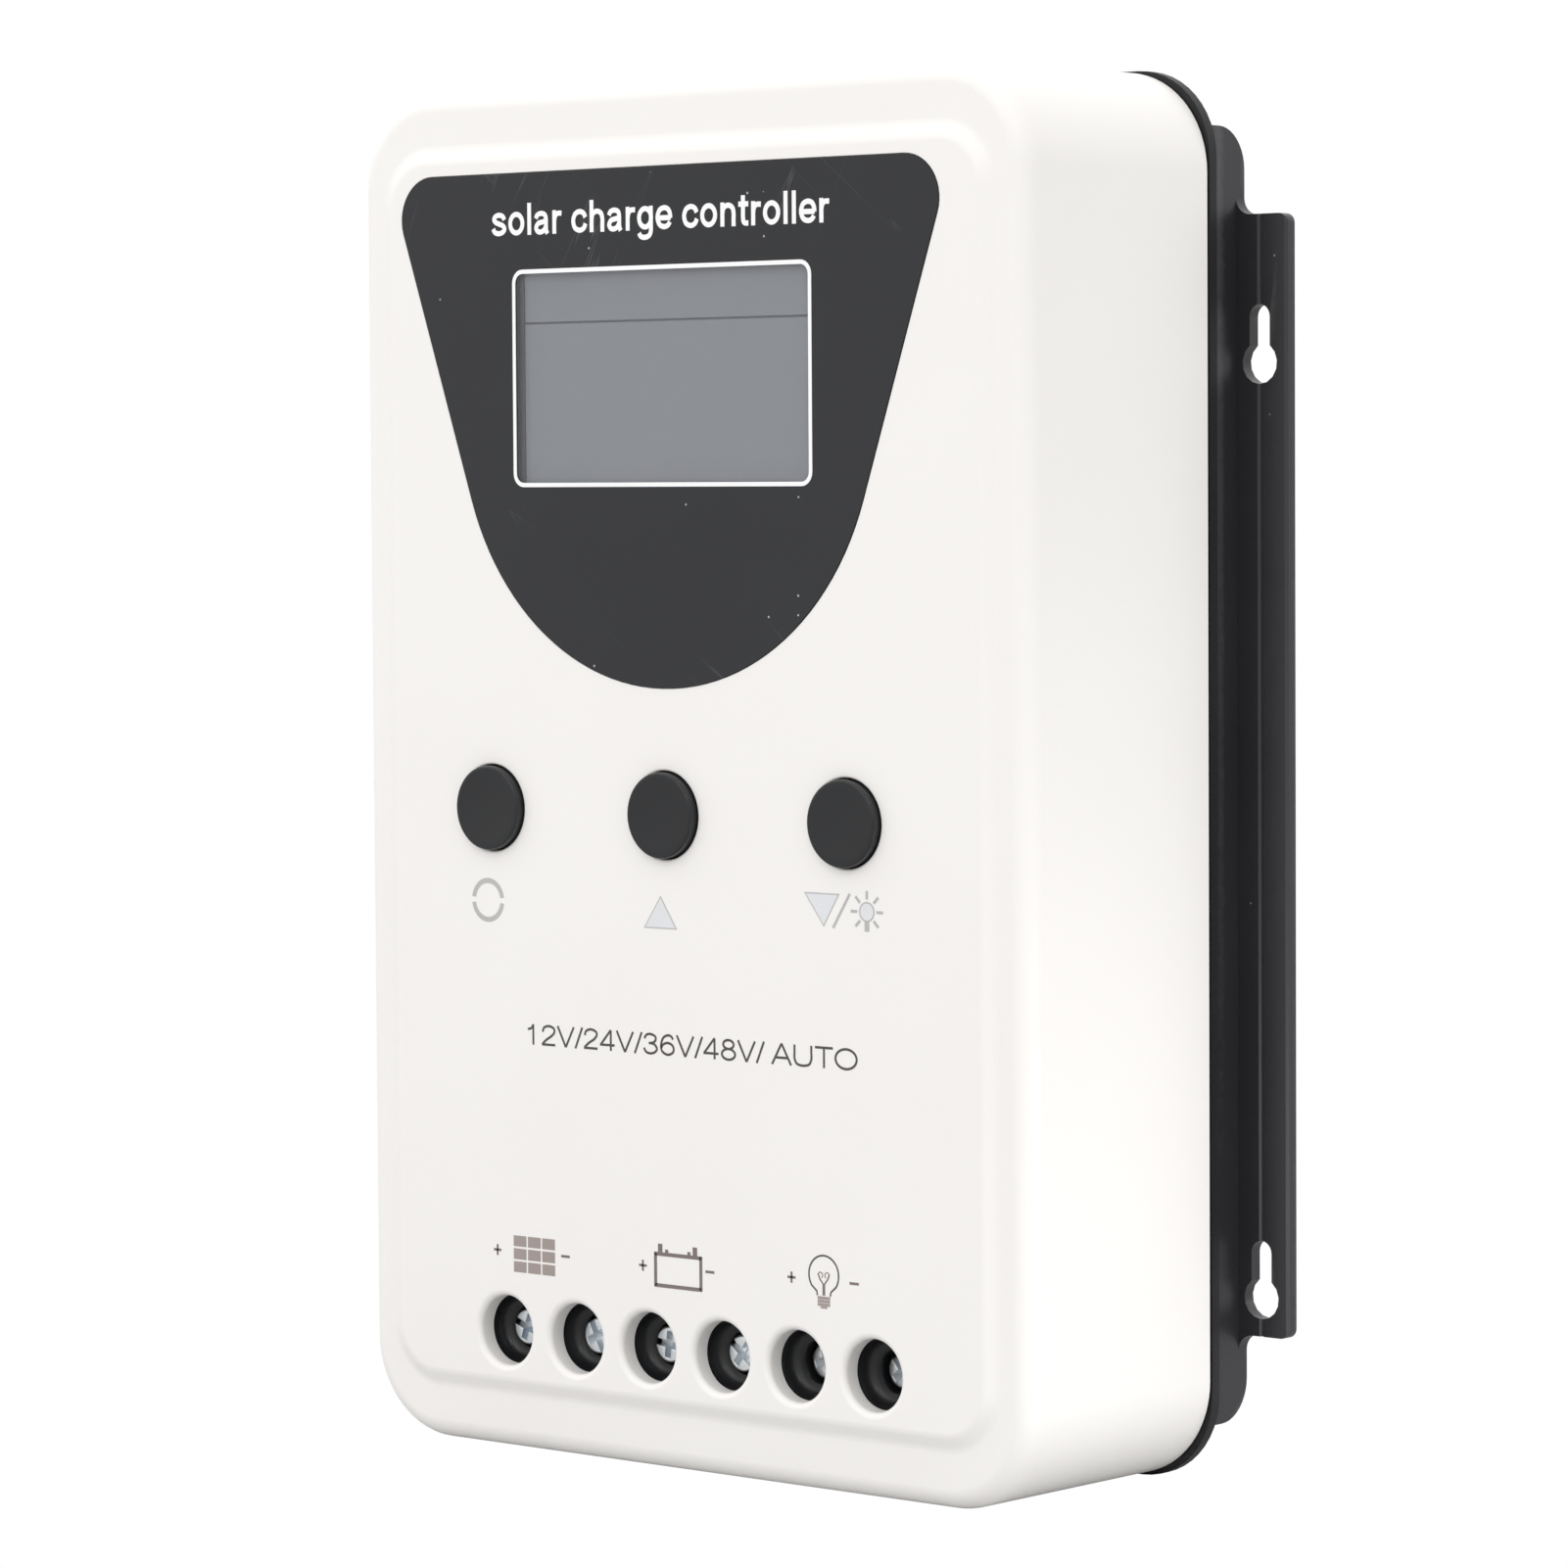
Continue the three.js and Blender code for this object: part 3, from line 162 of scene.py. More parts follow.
class Bench:
    """Modelling moves on one piece at a time, as by hand."""

    datum: Datum

    @staticmethod
    def clear() -> None:
        """Leaves edit mode and deselects everything."""
        if bpy.context.mode != "OBJECT":
            bpy.ops.object.mode_set(mode="OBJECT")
        bpy.ops.object.select_all(action="DESELECT")

    @classmethod
    def hold(cls, piece: Piece) -> Piece:
        """Makes a piece the only selected and active one."""
        cls.clear()
        piece.hide_set(False)
        piece.select_set(True)
        bpy.context.view_layer.objects.active = piece
        return piece

    @classmethod
    def take(cls, name: str) -> Piece:
        """Names the primitive that was just added and puts its place into its mesh."""
        piece = cls.named(name)
        cls.hold(piece)
        bpy.ops.object.transform_apply(location=True, rotation=True, scale=True)
        return piece

    @staticmethod
    def named(name: str) -> Piece:
        """Names the active object and its mesh."""
        piece = bpy.context.object
        piece.name = name
        piece.data.name = name
        return piece

    @classmethod
    def edit(cls, piece: Piece, mode: str = "FACE") -> None:
        """Opens a piece in edit mode with nothing selected."""
        cls.hold(piece)
        bpy.ops.object.mode_set(mode="EDIT")
        bpy.ops.mesh.select_mode(type=mode)
        bpy.ops.mesh.select_all(action="DESELECT")

    @staticmethod
    def pick(piece: Piece, kind: str, test: Callable) -> None:
        """Selects the elements of the open piece that pass a test.

        Args:
            piece: the piece in edit mode.
            kind: edges or faces.
            test: takes an element and says whether it is wanted.
        """
        mesh = bmesh.from_edit_mesh(piece.data)
        mesh.normal_update()
        for item in getattr(mesh, kind):
            if test(item):
                item.select_set(True)
        mesh.select_flush_mode()
        bmesh.update_edit_mesh(piece.data)

    @classmethod
    def close(cls, piece: Piece) -> Piece:
        """Merges doubles, turns the faces outwards and leaves edit mode."""
        bpy.ops.mesh.select_all(action="SELECT")
        bpy.ops.mesh.remove_doubles(threshold=SAME_PLACE)
        bpy.ops.mesh.normals_make_consistent(inside=False)
        cls.clear()
        return piece

    @classmethod
    def block(cls, name: str, low: Vector, high: Vector) -> Piece:
        """Adds a cube primitive that fills the space between two corners."""
        cls.clear()
        bpy.ops.mesh.primitive_cube_add(size=1, location=(low + high) / 2, scale=high - low)
        return cls.take(name)

    @classmethod
    def rounded_block(
        cls, name: str, low: Vector, high: Vector, radius: float, segments: int = 8
    ) -> Piece:
        """A block whose four edges along Y are rounded.

        Args:
            name: the piece's name.
            low: lowest corner, in metres.
            high: highest corner, in metres.
            radius: of the rounded edges, in millimetres.
            segments: of each rounded edge.

        Returns:
            The block, out of edit mode.
        """
        piece = cls.block(name, low, high)
        cls.edit(piece, "EDGE")
        cls.pick(piece, "edges", lambda e: abs((e.verts[0].co - e.verts[1].co).normalized().y) > 0.999)
        bpy.ops.mesh.bevel(offset=radius * MM, segments=segments, affect="EDGES")
        return cls.close(piece)

    @staticmethod
    def extrude(depth: float) -> None:
        """Extrudes the selected faces backwards by a depth in millimetres."""
        bpy.ops.mesh.extrude_region_move(TRANSFORM_OT_translate={"value": (0, depth * MM, 0)})

    @classmethod
    def open_outline(cls, name: str, outline: list[Pair], front: float) -> Piece:
        """Adds a filled circle, draws it to an outline and opens it with everything selected."""
        cls.clear()
        bpy.ops.mesh.primitive_circle_add(vertices=len(outline), radius=0.01, fill_type="NGON")
        piece = cls.take(name)
        for vertex, (x, z) in zip(piece.data.vertices, outline):
            vertex.co = cls.datum.at(x, front, z)
        cls.edit(piece)
        bpy.ops.mesh.select_all(action="SELECT")
        return piece

    @classmethod
    def plate(cls, name: str, outline: list[Pair], front: float, back: float) -> Piece:
        """A flat piece with any outline.

        Args:
            name: the piece's name.
            outline: x and z of each corner, in millimetres, in order.
            front: y of the front face, in millimetres.
            back: y of the back face, in millimetres.

        Returns:
            The plate, out of edit mode.
        """
        piece = cls.open_outline(name, outline, front)
        cls.extrude(back - front)
        return cls.close(piece)

    @classmethod
    def ring(
        cls, name: str, outline: list[Pair], width: float, front: float, back: float
    ) -> Piece:
        """A plate with an even border and nothing inside it."""
        piece = cls.open_outline(name, outline, front)
        bpy.ops.mesh.inset(thickness=width * MM, depth=0)
        bpy.ops.mesh.delete(type="FACE")
        bpy.ops.mesh.select_all(action="SELECT")
        cls.extrude(back - front)
        return cls.close(piece)

    @classmethod
    def turned(
        cls, name: str, x: float, z: float, profile: list[Pair], sides: int = 72
    ) -> Piece:
        """A round piece about a line along Y: a disc extruded and scaled from ring to ring.

        Args:
            name: the piece's name.
            x: the axis's x, in millimetres.
            z: the axis's z, in millimetres.
            profile: radius and y of each ring, in millimetres, from one end to the other.
            sides: of each ring.

        Returns:
            The closed piece, out of edit mode.
        """
        cls.clear()
        radius, y = profile[0]
        bpy.ops.mesh.primitive_circle_add(
            vertices=sides,
            radius=radius * MM,
            fill_type="NGON",
            location=cls.datum.at(x, y, z),
            rotation=(math.pi / 2, 0, 0),
        )
        piece = cls.take(name)
        cls.edit(piece)
        bpy.ops.mesh.select_all(action="SELECT")
        for next_radius, next_y in profile[1:]:
            cls.extrude(next_y - y)
            grow = next_radius / radius
            bpy.ops.transform.resize(value=(grow, 1, grow), center_override=cls.datum.at(x, next_y, z))
            radius, y = next_radius, next_y
        return cls.close(piece)

    @classmethod
    def modify(cls, piece: Piece, kind: str, **settings) -> None:
        """Adds a modifier to a piece, sets it and applies it."""
        cls.hold(piece)
        bpy.ops.object.modifier_add(type=kind)
        modifier = piece.modifiers[-1]
        for key, value in settings.items():
            setattr(modifier, key, value)
        bpy.ops.object.modifier_apply(modifier=modifier.name)

    @classmethod
    def cut(cls, piece: Piece, *tools: Piece) -> None:
        """Cuts tools out of a piece, one after another, and removes them."""
        for tool in tools:
            cls.modify(piece, "BOOLEAN", operation="DIFFERENCE", solver="EXACT", object=tool)
            bpy.data.objects.remove(tool)

    @classmethod
    def join(cls, name: str, pieces: list[Piece]) -> Piece:
        """Joins pieces into one object under a new name."""
        cls.clear()
        for piece in pieces:
            piece.select_set(True)
        bpy.context.view_layer.objects.active = pieces[0]
        if len(pieces) > 1:
            bpy.ops.object.join()
        return cls.named(name)

    @classmethod
    def ease(cls, piece: Piece, width: float, segments: int, angle: float) -> None:
        """Rounds every sharp edge of a piece.

        Args:
            piece: the piece.
            width: of the rounding, in millimetres.
            segments: of the rounding.
            angle: least turn of an edge that is rounded, in degrees.
        """
        cls.modify(
            piece,
            "BEVEL",
            width=width * MM,
            segments=segments,
            limit_method="ANGLE",
            angle_limit=math.radians(angle),
            use_clamp_overlap=True,
            miter_outer="MITER_ARC",
            face_strength_mode="FSTR_ALL",
        )

    @classmethod
    def smooth(cls, piece: Piece, angle: float = 35.0) -> None:
        """Shades a piece smooth, with its large faces kept flat."""
        cls.hold(piece)
        bpy.ops.object.shade_smooth_by_angle(angle=math.radians(angle))
        cls.modify(piece, "WEIGHTED_NORMAL", keep_sharp=True)

    @classmethod
    def eased_copy(cls, node: str, width: float) -> Piece:
        """A copy of a CAD node, free of its body, with rounded edges and evenly shaded flat faces.

        Args:
            node: the CAD node's name.
            width: of the rounding, in millimetres.

        Returns:
            The copy, not yet dressed.
        """
        cls.hold(FRAME["nodes"][node])
        bpy.ops.object.duplicate()
        bpy.ops.object.parent_clear(type="CLEAR_KEEP_TRANSFORM")
        piece = cls.named(f"{node}_eased")
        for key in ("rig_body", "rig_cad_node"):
            if key in piece:
                del piece[key]
        cls.edit(piece)
        bpy.ops.mesh.select_all(action="SELECT")
        bpy.ops.mesh.remove_doubles(threshold=SAME_PLACE)
        bpy.ops.mesh.dissolve_limited(angle_limit=math.radians(0.3))
        cls.hold(piece)
        sharp = 28.0
        bpy.ops.object.shade_smooth_by_angle(angle=math.radians(sharp))
        cls.ease(piece, width, 3, sharp)
        cls.modify(piece, "WEIGHTED_NORMAL", use_face_influence=True)
        return piece

    @classmethod
    def dress(cls, piece: Piece, finish: str) -> None:
        """Gives a piece its finish."""
        piece.data.materials.clear()
        piece.data.materials.append(Paint.of(finish))
        LOG.info("%s: %s", piece.name, finish)

    @classmethod
    def finish(
        cls, piece: Piece, finish: str, slot: str, replaces: tuple[str, ...] = (), body: str = HOUSING
    ) -> None:
        """Dresses a piece and hangs it on its body.

        Args:
            piece: the finished mesh.
            finish: the name of its finish.
            slot: not used.
            replaces: the CAD nodes it stands for.
            body: the body it rides on.
        """
        cls.dress(piece, finish)
        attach(piece, body)
        if replaces:
            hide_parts(*replaces)
        LOG.info("%s: %d faces on %s", piece.name, len(piece.data.polygons), body)


@dataclass
class Original:
    """A piece that is modelled once and copied wherever it occurs again."""

    first: Piece | None = None
    place: Vector = field(default_factory=Vector)
    turn: float = 0.0

    def again(
        self, name: str, place: Vector, model: Callable[[], Piece], turn: float = 0.0
    ) -> Piece:
        """The piece, or a copy of it with its own mesh.

        Args:
            name: of a copy.
            place: where this one belongs.
            model: makes the first one, at its place.
            turn: about the line along Y through the place, in radians.

        Returns:
            The piece at the place, not yet dressed.
        """
        if self.first is None:
            self.first, self.place, self.turn = model(), place, turn
            self.first.data.transform(spin(turn, place))
            return self.first
        Bench.hold(self.first)
        bpy.ops.object.duplicate()
        copy = Bench.named(name)
        move = Matrix.Translation(place - self.place) @ spin(turn - self.turn, self.place)
        copy.data.transform(move)
        return copy


def arc(x: float, z: float, radius: float, start: float, end: float, steps: int) -> list[Pair]:
    """Points on an arc.

    Args:
        x: the centre's first coordinate.
        z: the centre's second coordinate.
        radius: of the arc.
        start: first angle, in degrees.
        end: last angle, in degrees.
        steps: of the arc.

    Returns:
        The points, both ends included.
    """
    turns = [math.radians(start + (end - start) * i / steps) for i in range(steps + 1)]
    return [(x + radius * math.cos(t), z + radius * math.sin(t)) for t in turns]


def rounded_outline(x0: float, z0: float, x1: float, z1: float, radius: float, steps: int = 6) -> list[Pair]:
    """A rounded rectangle between two corners, anticlockwise."""
    return [
        *arc(x1 - radius, z0 + radius, radius, -90, 0, steps),
        *arc(x1 - radius, z1 - radius, radius, 0, 90, steps),
        *arc(x0 + radius, z1 - radius, radius, 90, 180, steps),
        *arc(x0 + radius, z0 + radius, radius, 180, 270, steps),
    ]


def stroke_outline(path: list[Pair], width: float) -> list[Pair]:
    """The outline of a line of even width along a path."""
    left, right = [], []
    for i, (x, z) in enumerate(path):
        before, after = path[max(i - 1, 0)], path[min(i + 1, len(path) - 1)]
        dx, dz = after[0] - before[0], after[1] - before[1]
        length = math.hypot(dx, dz)
        nx, nz = -dz / length * width / 2, dx / length * width / 2
        left.append((x + nx, z + nz))
        right.append((x - nx, z - nz))
    return left + right[::-1]


# ---------------------------------------------------------------- finishes


class Graph:
    """Adds and links the nodes of one shader tree."""

    def __init__(self, tree: bpy.types.NodeTree) -> None:
        """Takes the tree and clears it."""
        self.tree = tree
        self.tree.nodes.clear()
        self.column = 0

    def add(self, kind: str, inputs: dict | None = None, **settings) -> bpy.types.Node:
        """Adds a node.

        Args:
            kind: the node's type name.
            inputs: values or source sockets by input name or number.
            **settings: the node's own properties.

        Returns:
            The node.
        """
        node = self.tree.nodes.new(kind)
        node.location = (180 * self.column, 0)
        self.column += 1
        for key, value in settings.items():
            setattr(node, key, value)
        for key, value in (inputs or {}).items():
            if isinstance(value, Socket):
                self.tree.links.new(value, node.inputs[key])
            else:
                node.inputs[key].default_value = value
        return node

    def math(self, operation: str, first, second=0.0, clamp: bool = False) -> Socket:
        """A Math node's result."""
        node = self.add("ShaderNodeMath", {0: first, 1: second}, operation=operation, use_clamp=clamp)
        return node.outputs[0]

    def mix(self, factor, first, second) -> Socket:
        """A colour mix of two colours or sockets."""
        node = self.add("ShaderNodeMix", data_type="RGBA")
        for index, value in ((0, factor), (6, first), (7, second)):
            if isinstance(value, Socket):
                self.tree.links.new(value, node.inputs[index])
            else:
                node.inputs[index].default_value = value if index == 0 else (*value, 1.0)
        return node.outputs[2]

    def noise(self, vector: Socket, scale: float | Socket, detail: float = 2.0) -> Socket:
        """The height of a noise texture."""
        inputs = {"Vector": vector, "Scale": scale, "Detail": detail}
        return self.add("ShaderNodeTexNoise", inputs).outputs["Fac"]

    def span(self, value, low: float, high: float, to_low: float, to_high: float) -> Socket:
        """A clamped map of a value from one span to another."""
        node = self.add(
            "ShaderNodeMapRange",
            {"Value": value, "From Min": low, "From Max": high, "To Min": to_low, "To Max": to_high},
        )
        return node.outputs[0]


class Effects:
    """Shader node groups that more than one finish uses, each built once."""

    @staticmethod
    def _group(
        name: str, inputs: dict[str, float], outputs: tuple[str, ...]
    ) -> tuple[Graph, bpy.types.bpy_prop_collection]:
        """Starts a group.

        Args:
            name: the group's name.
            inputs: its float inputs with their usual values.
            outputs: its float outputs.

        Returns:
            The graph and its input node's sockets.
        """
        tree = bpy.data.node_groups.new(name, "ShaderNodeTree")
        vector = tree.interface.new_socket("Vector", in_out="INPUT", socket_type="NodeSocketVector")
        vector.default_value = (0, 0, 0)
        for key, value in inputs.items():
            socket = tree.interface.new_socket(key, in_out="INPUT", socket_type="NodeSocketFloat")
            socket.default_value = value
        for key in outputs:
            tree.interface.new_socket(key, in_out="OUTPUT", socket_type="NodeSocketFloat")
        graph = Graph(tree)
        return graph, graph.add("NodeGroupInput").outputs

    @staticmethod
    @cache
    def grain() -> bpy.types.NodeTree:
        """Spark-eroded mould grain: an even fine pebble, and a slow cloud of shade."""
        graph, given = Effects._group("mould_grain", {"Cells per metre": 2500.0}, ("Height", "Cloud"))
        pebble = graph.noise(given["Vector"], given["Cells per metre"])
        cloud = graph.noise(given["Vector"], 22.0, 3.0)
        graph.add("NodeGroupOutput", {"Height": pebble, "Cloud": cloud})
        return graph.tree

    @staticmethod
    @cache
    def drawn() -> bpy.types.NodeTree:
        """Die lines along Z, as on an extrusion or a brushed sheet."""
        graph, given = Effects._group("drawn_lines", {"Lines per metre": 1500.0}, ("Height",))
        along_z = {0: given["Vector"], 1: (1.0, 1.0, 0.012)}
        squeeze = graph.add("ShaderNodeVectorMath", along_z, operation="MULTIPLY")
        lines = graph.noise(squeeze.outputs[0], given["Lines per metre"], 3.0)
        graph.add("NodeGroupOutput", {"Height": lines})
        return graph.tree

    @staticmethod
    @cache
    def dust() -> bpy.types.NodeTree:
        """Sparse pale specks."""
        graph, given = Effects._group("dust_specks", {"Cells per metre": 420.0, "Speck size": 0.1}, ("Mask",))
        grid = {"Vector": given["Vector"], "Scale": given["Cells per metre"]}
        cells = graph.add("ShaderNodeTexVoronoi", grid)
        draw = graph.add("ShaderNodeSeparateColor", {0: cells.outputs["Color"]})
        small = graph.math("MULTIPLY", given["Speck size"], draw.outputs[1])
        near = graph.math("LESS_THAN", cells.outputs["Distance"], small)
        chosen = graph.math("GREATER_THAN", draw.outputs[0], 0.72)
        mask = graph.math("MULTIPLY", near, chosen)
        graph.add("NodeGroupOutput", {"Mask": mask})
        return graph.tree

    @staticmethod
    @cache
    def scuffs() -> bpy.types.NodeTree:
        """Thin crossing hairline scratches."""
        graph, given = Effects._group("hairline_scuffs", {"Cells per metre": 60.0}, ("Mask",))
        masks = []
        for turn in (0.5, -0.9):
            mapped = graph.add(
                "ShaderNodeMapping",
                {"Vector": given["Vector"], "Rotation": (0.0, turn, 0.0), "Scale": (1.0, 1.0, 16.0)},
                vector_type="TEXTURE",
            )
            noise = graph.noise(mapped.outputs[0], given["Cells per metre"], 5.0)
            off = graph.math("ABSOLUTE", graph.math("SUBTRACT", noise, 0.5))
            masks.append(graph.span(off, 0.0, 0.003, 1.0, 0.0))
        both = graph.math("MAXIMUM", masks[0], masks[1])
        where = graph.span(graph.noise(given["Vector"], 30.0), 0.55, 0.62, 0.0, 1.0)
        graph.add("NodeGroupOutput", {"Mask": graph.math("MULTIPLY", both, where)})
        return graph.tree

    @staticmethod
    @cache
    def edge_wear() -> bpy.types.NodeTree:
        """Where edges stand out, broken up by a little noise."""
        graph, given = Effects._group("edge_wear", {"Reach": 0.56}, ("Mask",))
        shape = graph.add("ShaderNodeNewGeometry")
        broken = graph.span(graph.noise(given["Vector"], 900.0), 0, 1, -0.04, 0.04)
        raised = graph.math("ADD", shape.outputs["Pointiness"], broken)
        top = graph.math("ADD", given["Reach"], 0.1)
        graph.add("NodeGroupOutput", {"Mask": graph.span(raised, given["Reach"], top, 0.0, 1.0)})
        return graph.tree


@dataclass(frozen=True)
class Finish:
    """A moulded or painted surface with grain, slow shade changes, dust, scuffs and edge wear.

    The second shade is what the slow cloud mixes in. Grain depth is in millimetres.
    """

    name: str
    shade: Colour
    second_shade: Colour
    roughness: float = 0.5
    roughness_spread: float = 0.06
    grain_cells: float = 2500.0
    grain_depth: float = 0.01
    metallic: float = 0.0
    specular: float = 0.5
    dust: float = 0.0
    dust_cells: float = 420.0
    scuffs: float = 0.0
    wear: float = 0.0
    wear_shade: Colour = (0.6, 0.6, 0.6)

    def build(self) -> bpy.types.Material:
        """Makes the material."""
        material = bpy.data.materials.new(self.name)
        material.use_nodes = True
        graph = Graph(material.node_tree)
        place = graph.add("ShaderNodeTexCoord").outputs["Object"]
        cloud, height = self.surface(graph, place)
        colour = graph.mix(graph.span(cloud, 0.35, 0.65, 0.0, 1.0), self.shade, self.second_shade)
        colour = self.pattern(graph, place, colour)
        rough = graph.span(
            cloud, 0.3, 0.7, self.roughness - self.roughness_spread, self.roughness + self.roughness_spread
        )
        vector = {"Vector": place}
        if self.scuffs:
            colour, _ = self.overlay(graph, colour, Effects.scuffs(), vector, self.scuffs, (0.75, 0.75, 0.77))
        if self.dust:
            cells = {"Vector": place, "Cells per metre": self.dust_cells}
            colour, shown = self.overlay(graph, colour, Effects.dust(), cells, self.dust, (0.8, 0.8, 0.8))
            rough = graph.math("ADD", rough, graph.math("MULTIPLY", shown, 0.4), clamp=True)
        if self.wear:
            colour, _ = self.overlay(graph, colour, Effects.edge_wear(), vector, self.wear, self.wear_shade)
        shader = graph.add(
            "ShaderNodeBsdfPrincipled",
            {
                "Base Color": colour,
                "Roughness": rough,
                "Metallic": self.metallic,
                "Specular IOR Level": self.specular,
            },
        )
        if self.grain_depth:
            relief = {"Height": height, "Distance": self.grain_depth * MM, "Strength": 1.0}
            bump = graph.add("ShaderNodeBump", relief)
            graph.tree.links.new(bump.outputs[0], shader.inputs["Normal"])
        self.extra(graph, shader)
        graph.add("ShaderNodeOutputMaterial", {"Surface": shader.outputs[0]})
        return material

    @staticmethod
    def overlay(
        graph: Graph, colour: Socket, group: bpy.types.NodeTree, inputs: dict, amount: float, shade: Colour
    ) -> tuple[Socket, Socket]:
        """Lays a shade over a colour wherever a group's mask says.

        Args:
            graph: the material's graph.
            colour: what lies under the shade.
            group: the effect.
            inputs: of the effect.
            amount: how much of the shade shows where the mask is full.
            shade: what is laid over the colour.

        Returns:
            The new colour, and how much of the shade shows.
        """
        mask = graph.add("ShaderNodeGroup", inputs, node_tree=group).outputs["Mask"]
        shown = graph.math("MULTIPLY", mask, amount)
        return graph.mix(shown, colour, shade), shown

    def surface(self, graph: Graph, place: Socket) -> tuple[Socket, Socket]:
        """The slow cloud and the height of the finish's grain."""
        cells = {"Vector": place, "Cells per metre": self.grain_cells}
        grain = graph.add("ShaderNodeGroup", cells, node_tree=Effects.grain())
        return grain.outputs["Cloud"], grain.outputs["Height"]

    def pattern(self, graph: Graph, place: Socket, colour: Socket) -> Socket:
        """The colour with the finish's own pattern on it: none by default."""
        return colour

    def extra(self, graph: Graph, shader: bpy.types.Node) -> None:
        """Settings of the shader's own sockets: none by default."""


@dataclass(frozen=True)
class DrawnMetal(Finish):
    """A metal with die or brush lines along Z."""

    lines: float = 1500.0

    def surface(self, graph: Graph, place: Socket) -> tuple[Socket, Socket]:
        """Die lines for the height, and the usual cloud."""
        cloud, _ = super().surface(graph, place)
        lines = {"Vector": place, "Lines per metre": self.lines}
        drawn = graph.add("ShaderNodeGroup", lines, node_tree=Effects.drawn())
        return cloud, drawn.outputs["Height"]


@dataclass(frozen=True)
class ClearFilm(Finish):
    """The clear part of the film: thin, and seen mainly by its gloss."""

    def extra(self, graph: Graph, shader: bpy.types.Node) -> None:
        """Lets most of the light through."""
        shader.inputs["Alpha"].default_value = 0.1


@dataclass(frozen=True)
class SegmentGlass(Finish):
    """The display: a grey polariser with painted shade that deepens towards the top, and a fine line across
    it.
    """

    line_z: float = 0.0
    top_z: float = 0.0
    bottom_z: float = 0.0

    def pattern(self, graph: Graph, place: Socket, colour: Socket) -> Socket:
        """Adds the painted shade towards the top and the line."""
        axes = graph.add("ShaderNodeSeparateXYZ", {0: place})
        # painted shade: the glass is mixed towards its darker second shade as it nears the top
        painted_top_shade = graph.span(axes.outputs["Z"], self.bottom_z, self.top_z, 0.0, 1.0)
        colour = graph.mix(painted_top_shade, colour, self.second_shade)
        off = graph.math("ABSOLUTE", graph.math("SUBTRACT", axes.outputs["Z"], self.line_z))
        line = graph.span(off, 0.00013, 0.00020, 1.0, 0.0)
        return graph.mix(line, colour, (0.035, 0.04, 0.05))


@dataclass(frozen=True)
class SolderMask(Finish):
    """A circuit board's green mask with copper tracks under it."""

    def pattern(self, graph: Graph, place: Socket, colour: Socket) -> Socket:
        """Adds tracks as a brick-like maze."""
        turned = graph.add("ShaderNodeMapping", {"Vector": place, "Rotation": (math.pi / 2, 0.0, 0.0)})
        tracks = graph.add(
            "ShaderNodeTexBrick",
            {
                "Vector": turned.outputs[0],
                "Scale": 260.0,
                "Mortar Size": 0.03,
                "Brick Width": 1.6,
                "Row Height": 0.5,
            },
        )
        return graph.mix(tracks.outputs["Fac"], colour, (0.10, 0.42, 0.17))


@dataclass(frozen=True)
class RibbonStripes(Finish):
    """A flat cable: grey cores side by side with one red edge."""

    def pattern(self, graph: Graph, place: Socket, colour: Socket) -> Socket:
        """Adds painted shade in the grooves between cores, and the marked core."""
        axes = graph.add("ShaderNodeSeparateXYZ", {0: place})
        wave = graph.math("SINE", graph.math("MULTIPLY", axes.outputs["X"], 2 * math.pi / 0.00127))
        # painted shade: darker stripes where the grooves between the cores would be
        colour = graph.mix(graph.span(wave, 0.6, 1.0, 0.0, 0.6), colour, (0.2, 0.2, 0.2))
        return graph.mix(graph.math("LESS_THAN", axes.outputs["X"], -0.0088), colour, (0.6, 0.05, 0.04))


class Ink(Enum):
    """The printed inks and their colours."""

    WHITE = (0.86, 0.86, 0.86)
    PALE_GREY = (0.67, 0.68, 0.70)
    SILVER_GREY = (0.43, 0.425, 0.42)
    WARM_GREY = (0.32, 0.27, 0.25)
    BROWN_GREY = (0.17, 0.14, 0.135)
    DARK_GREY = (0.065, 0.06, 0.058)

    @property
    def finish(self) -> str:
        """The name of the ink's finish."""
        return f"ink_{self.name.lower()}"


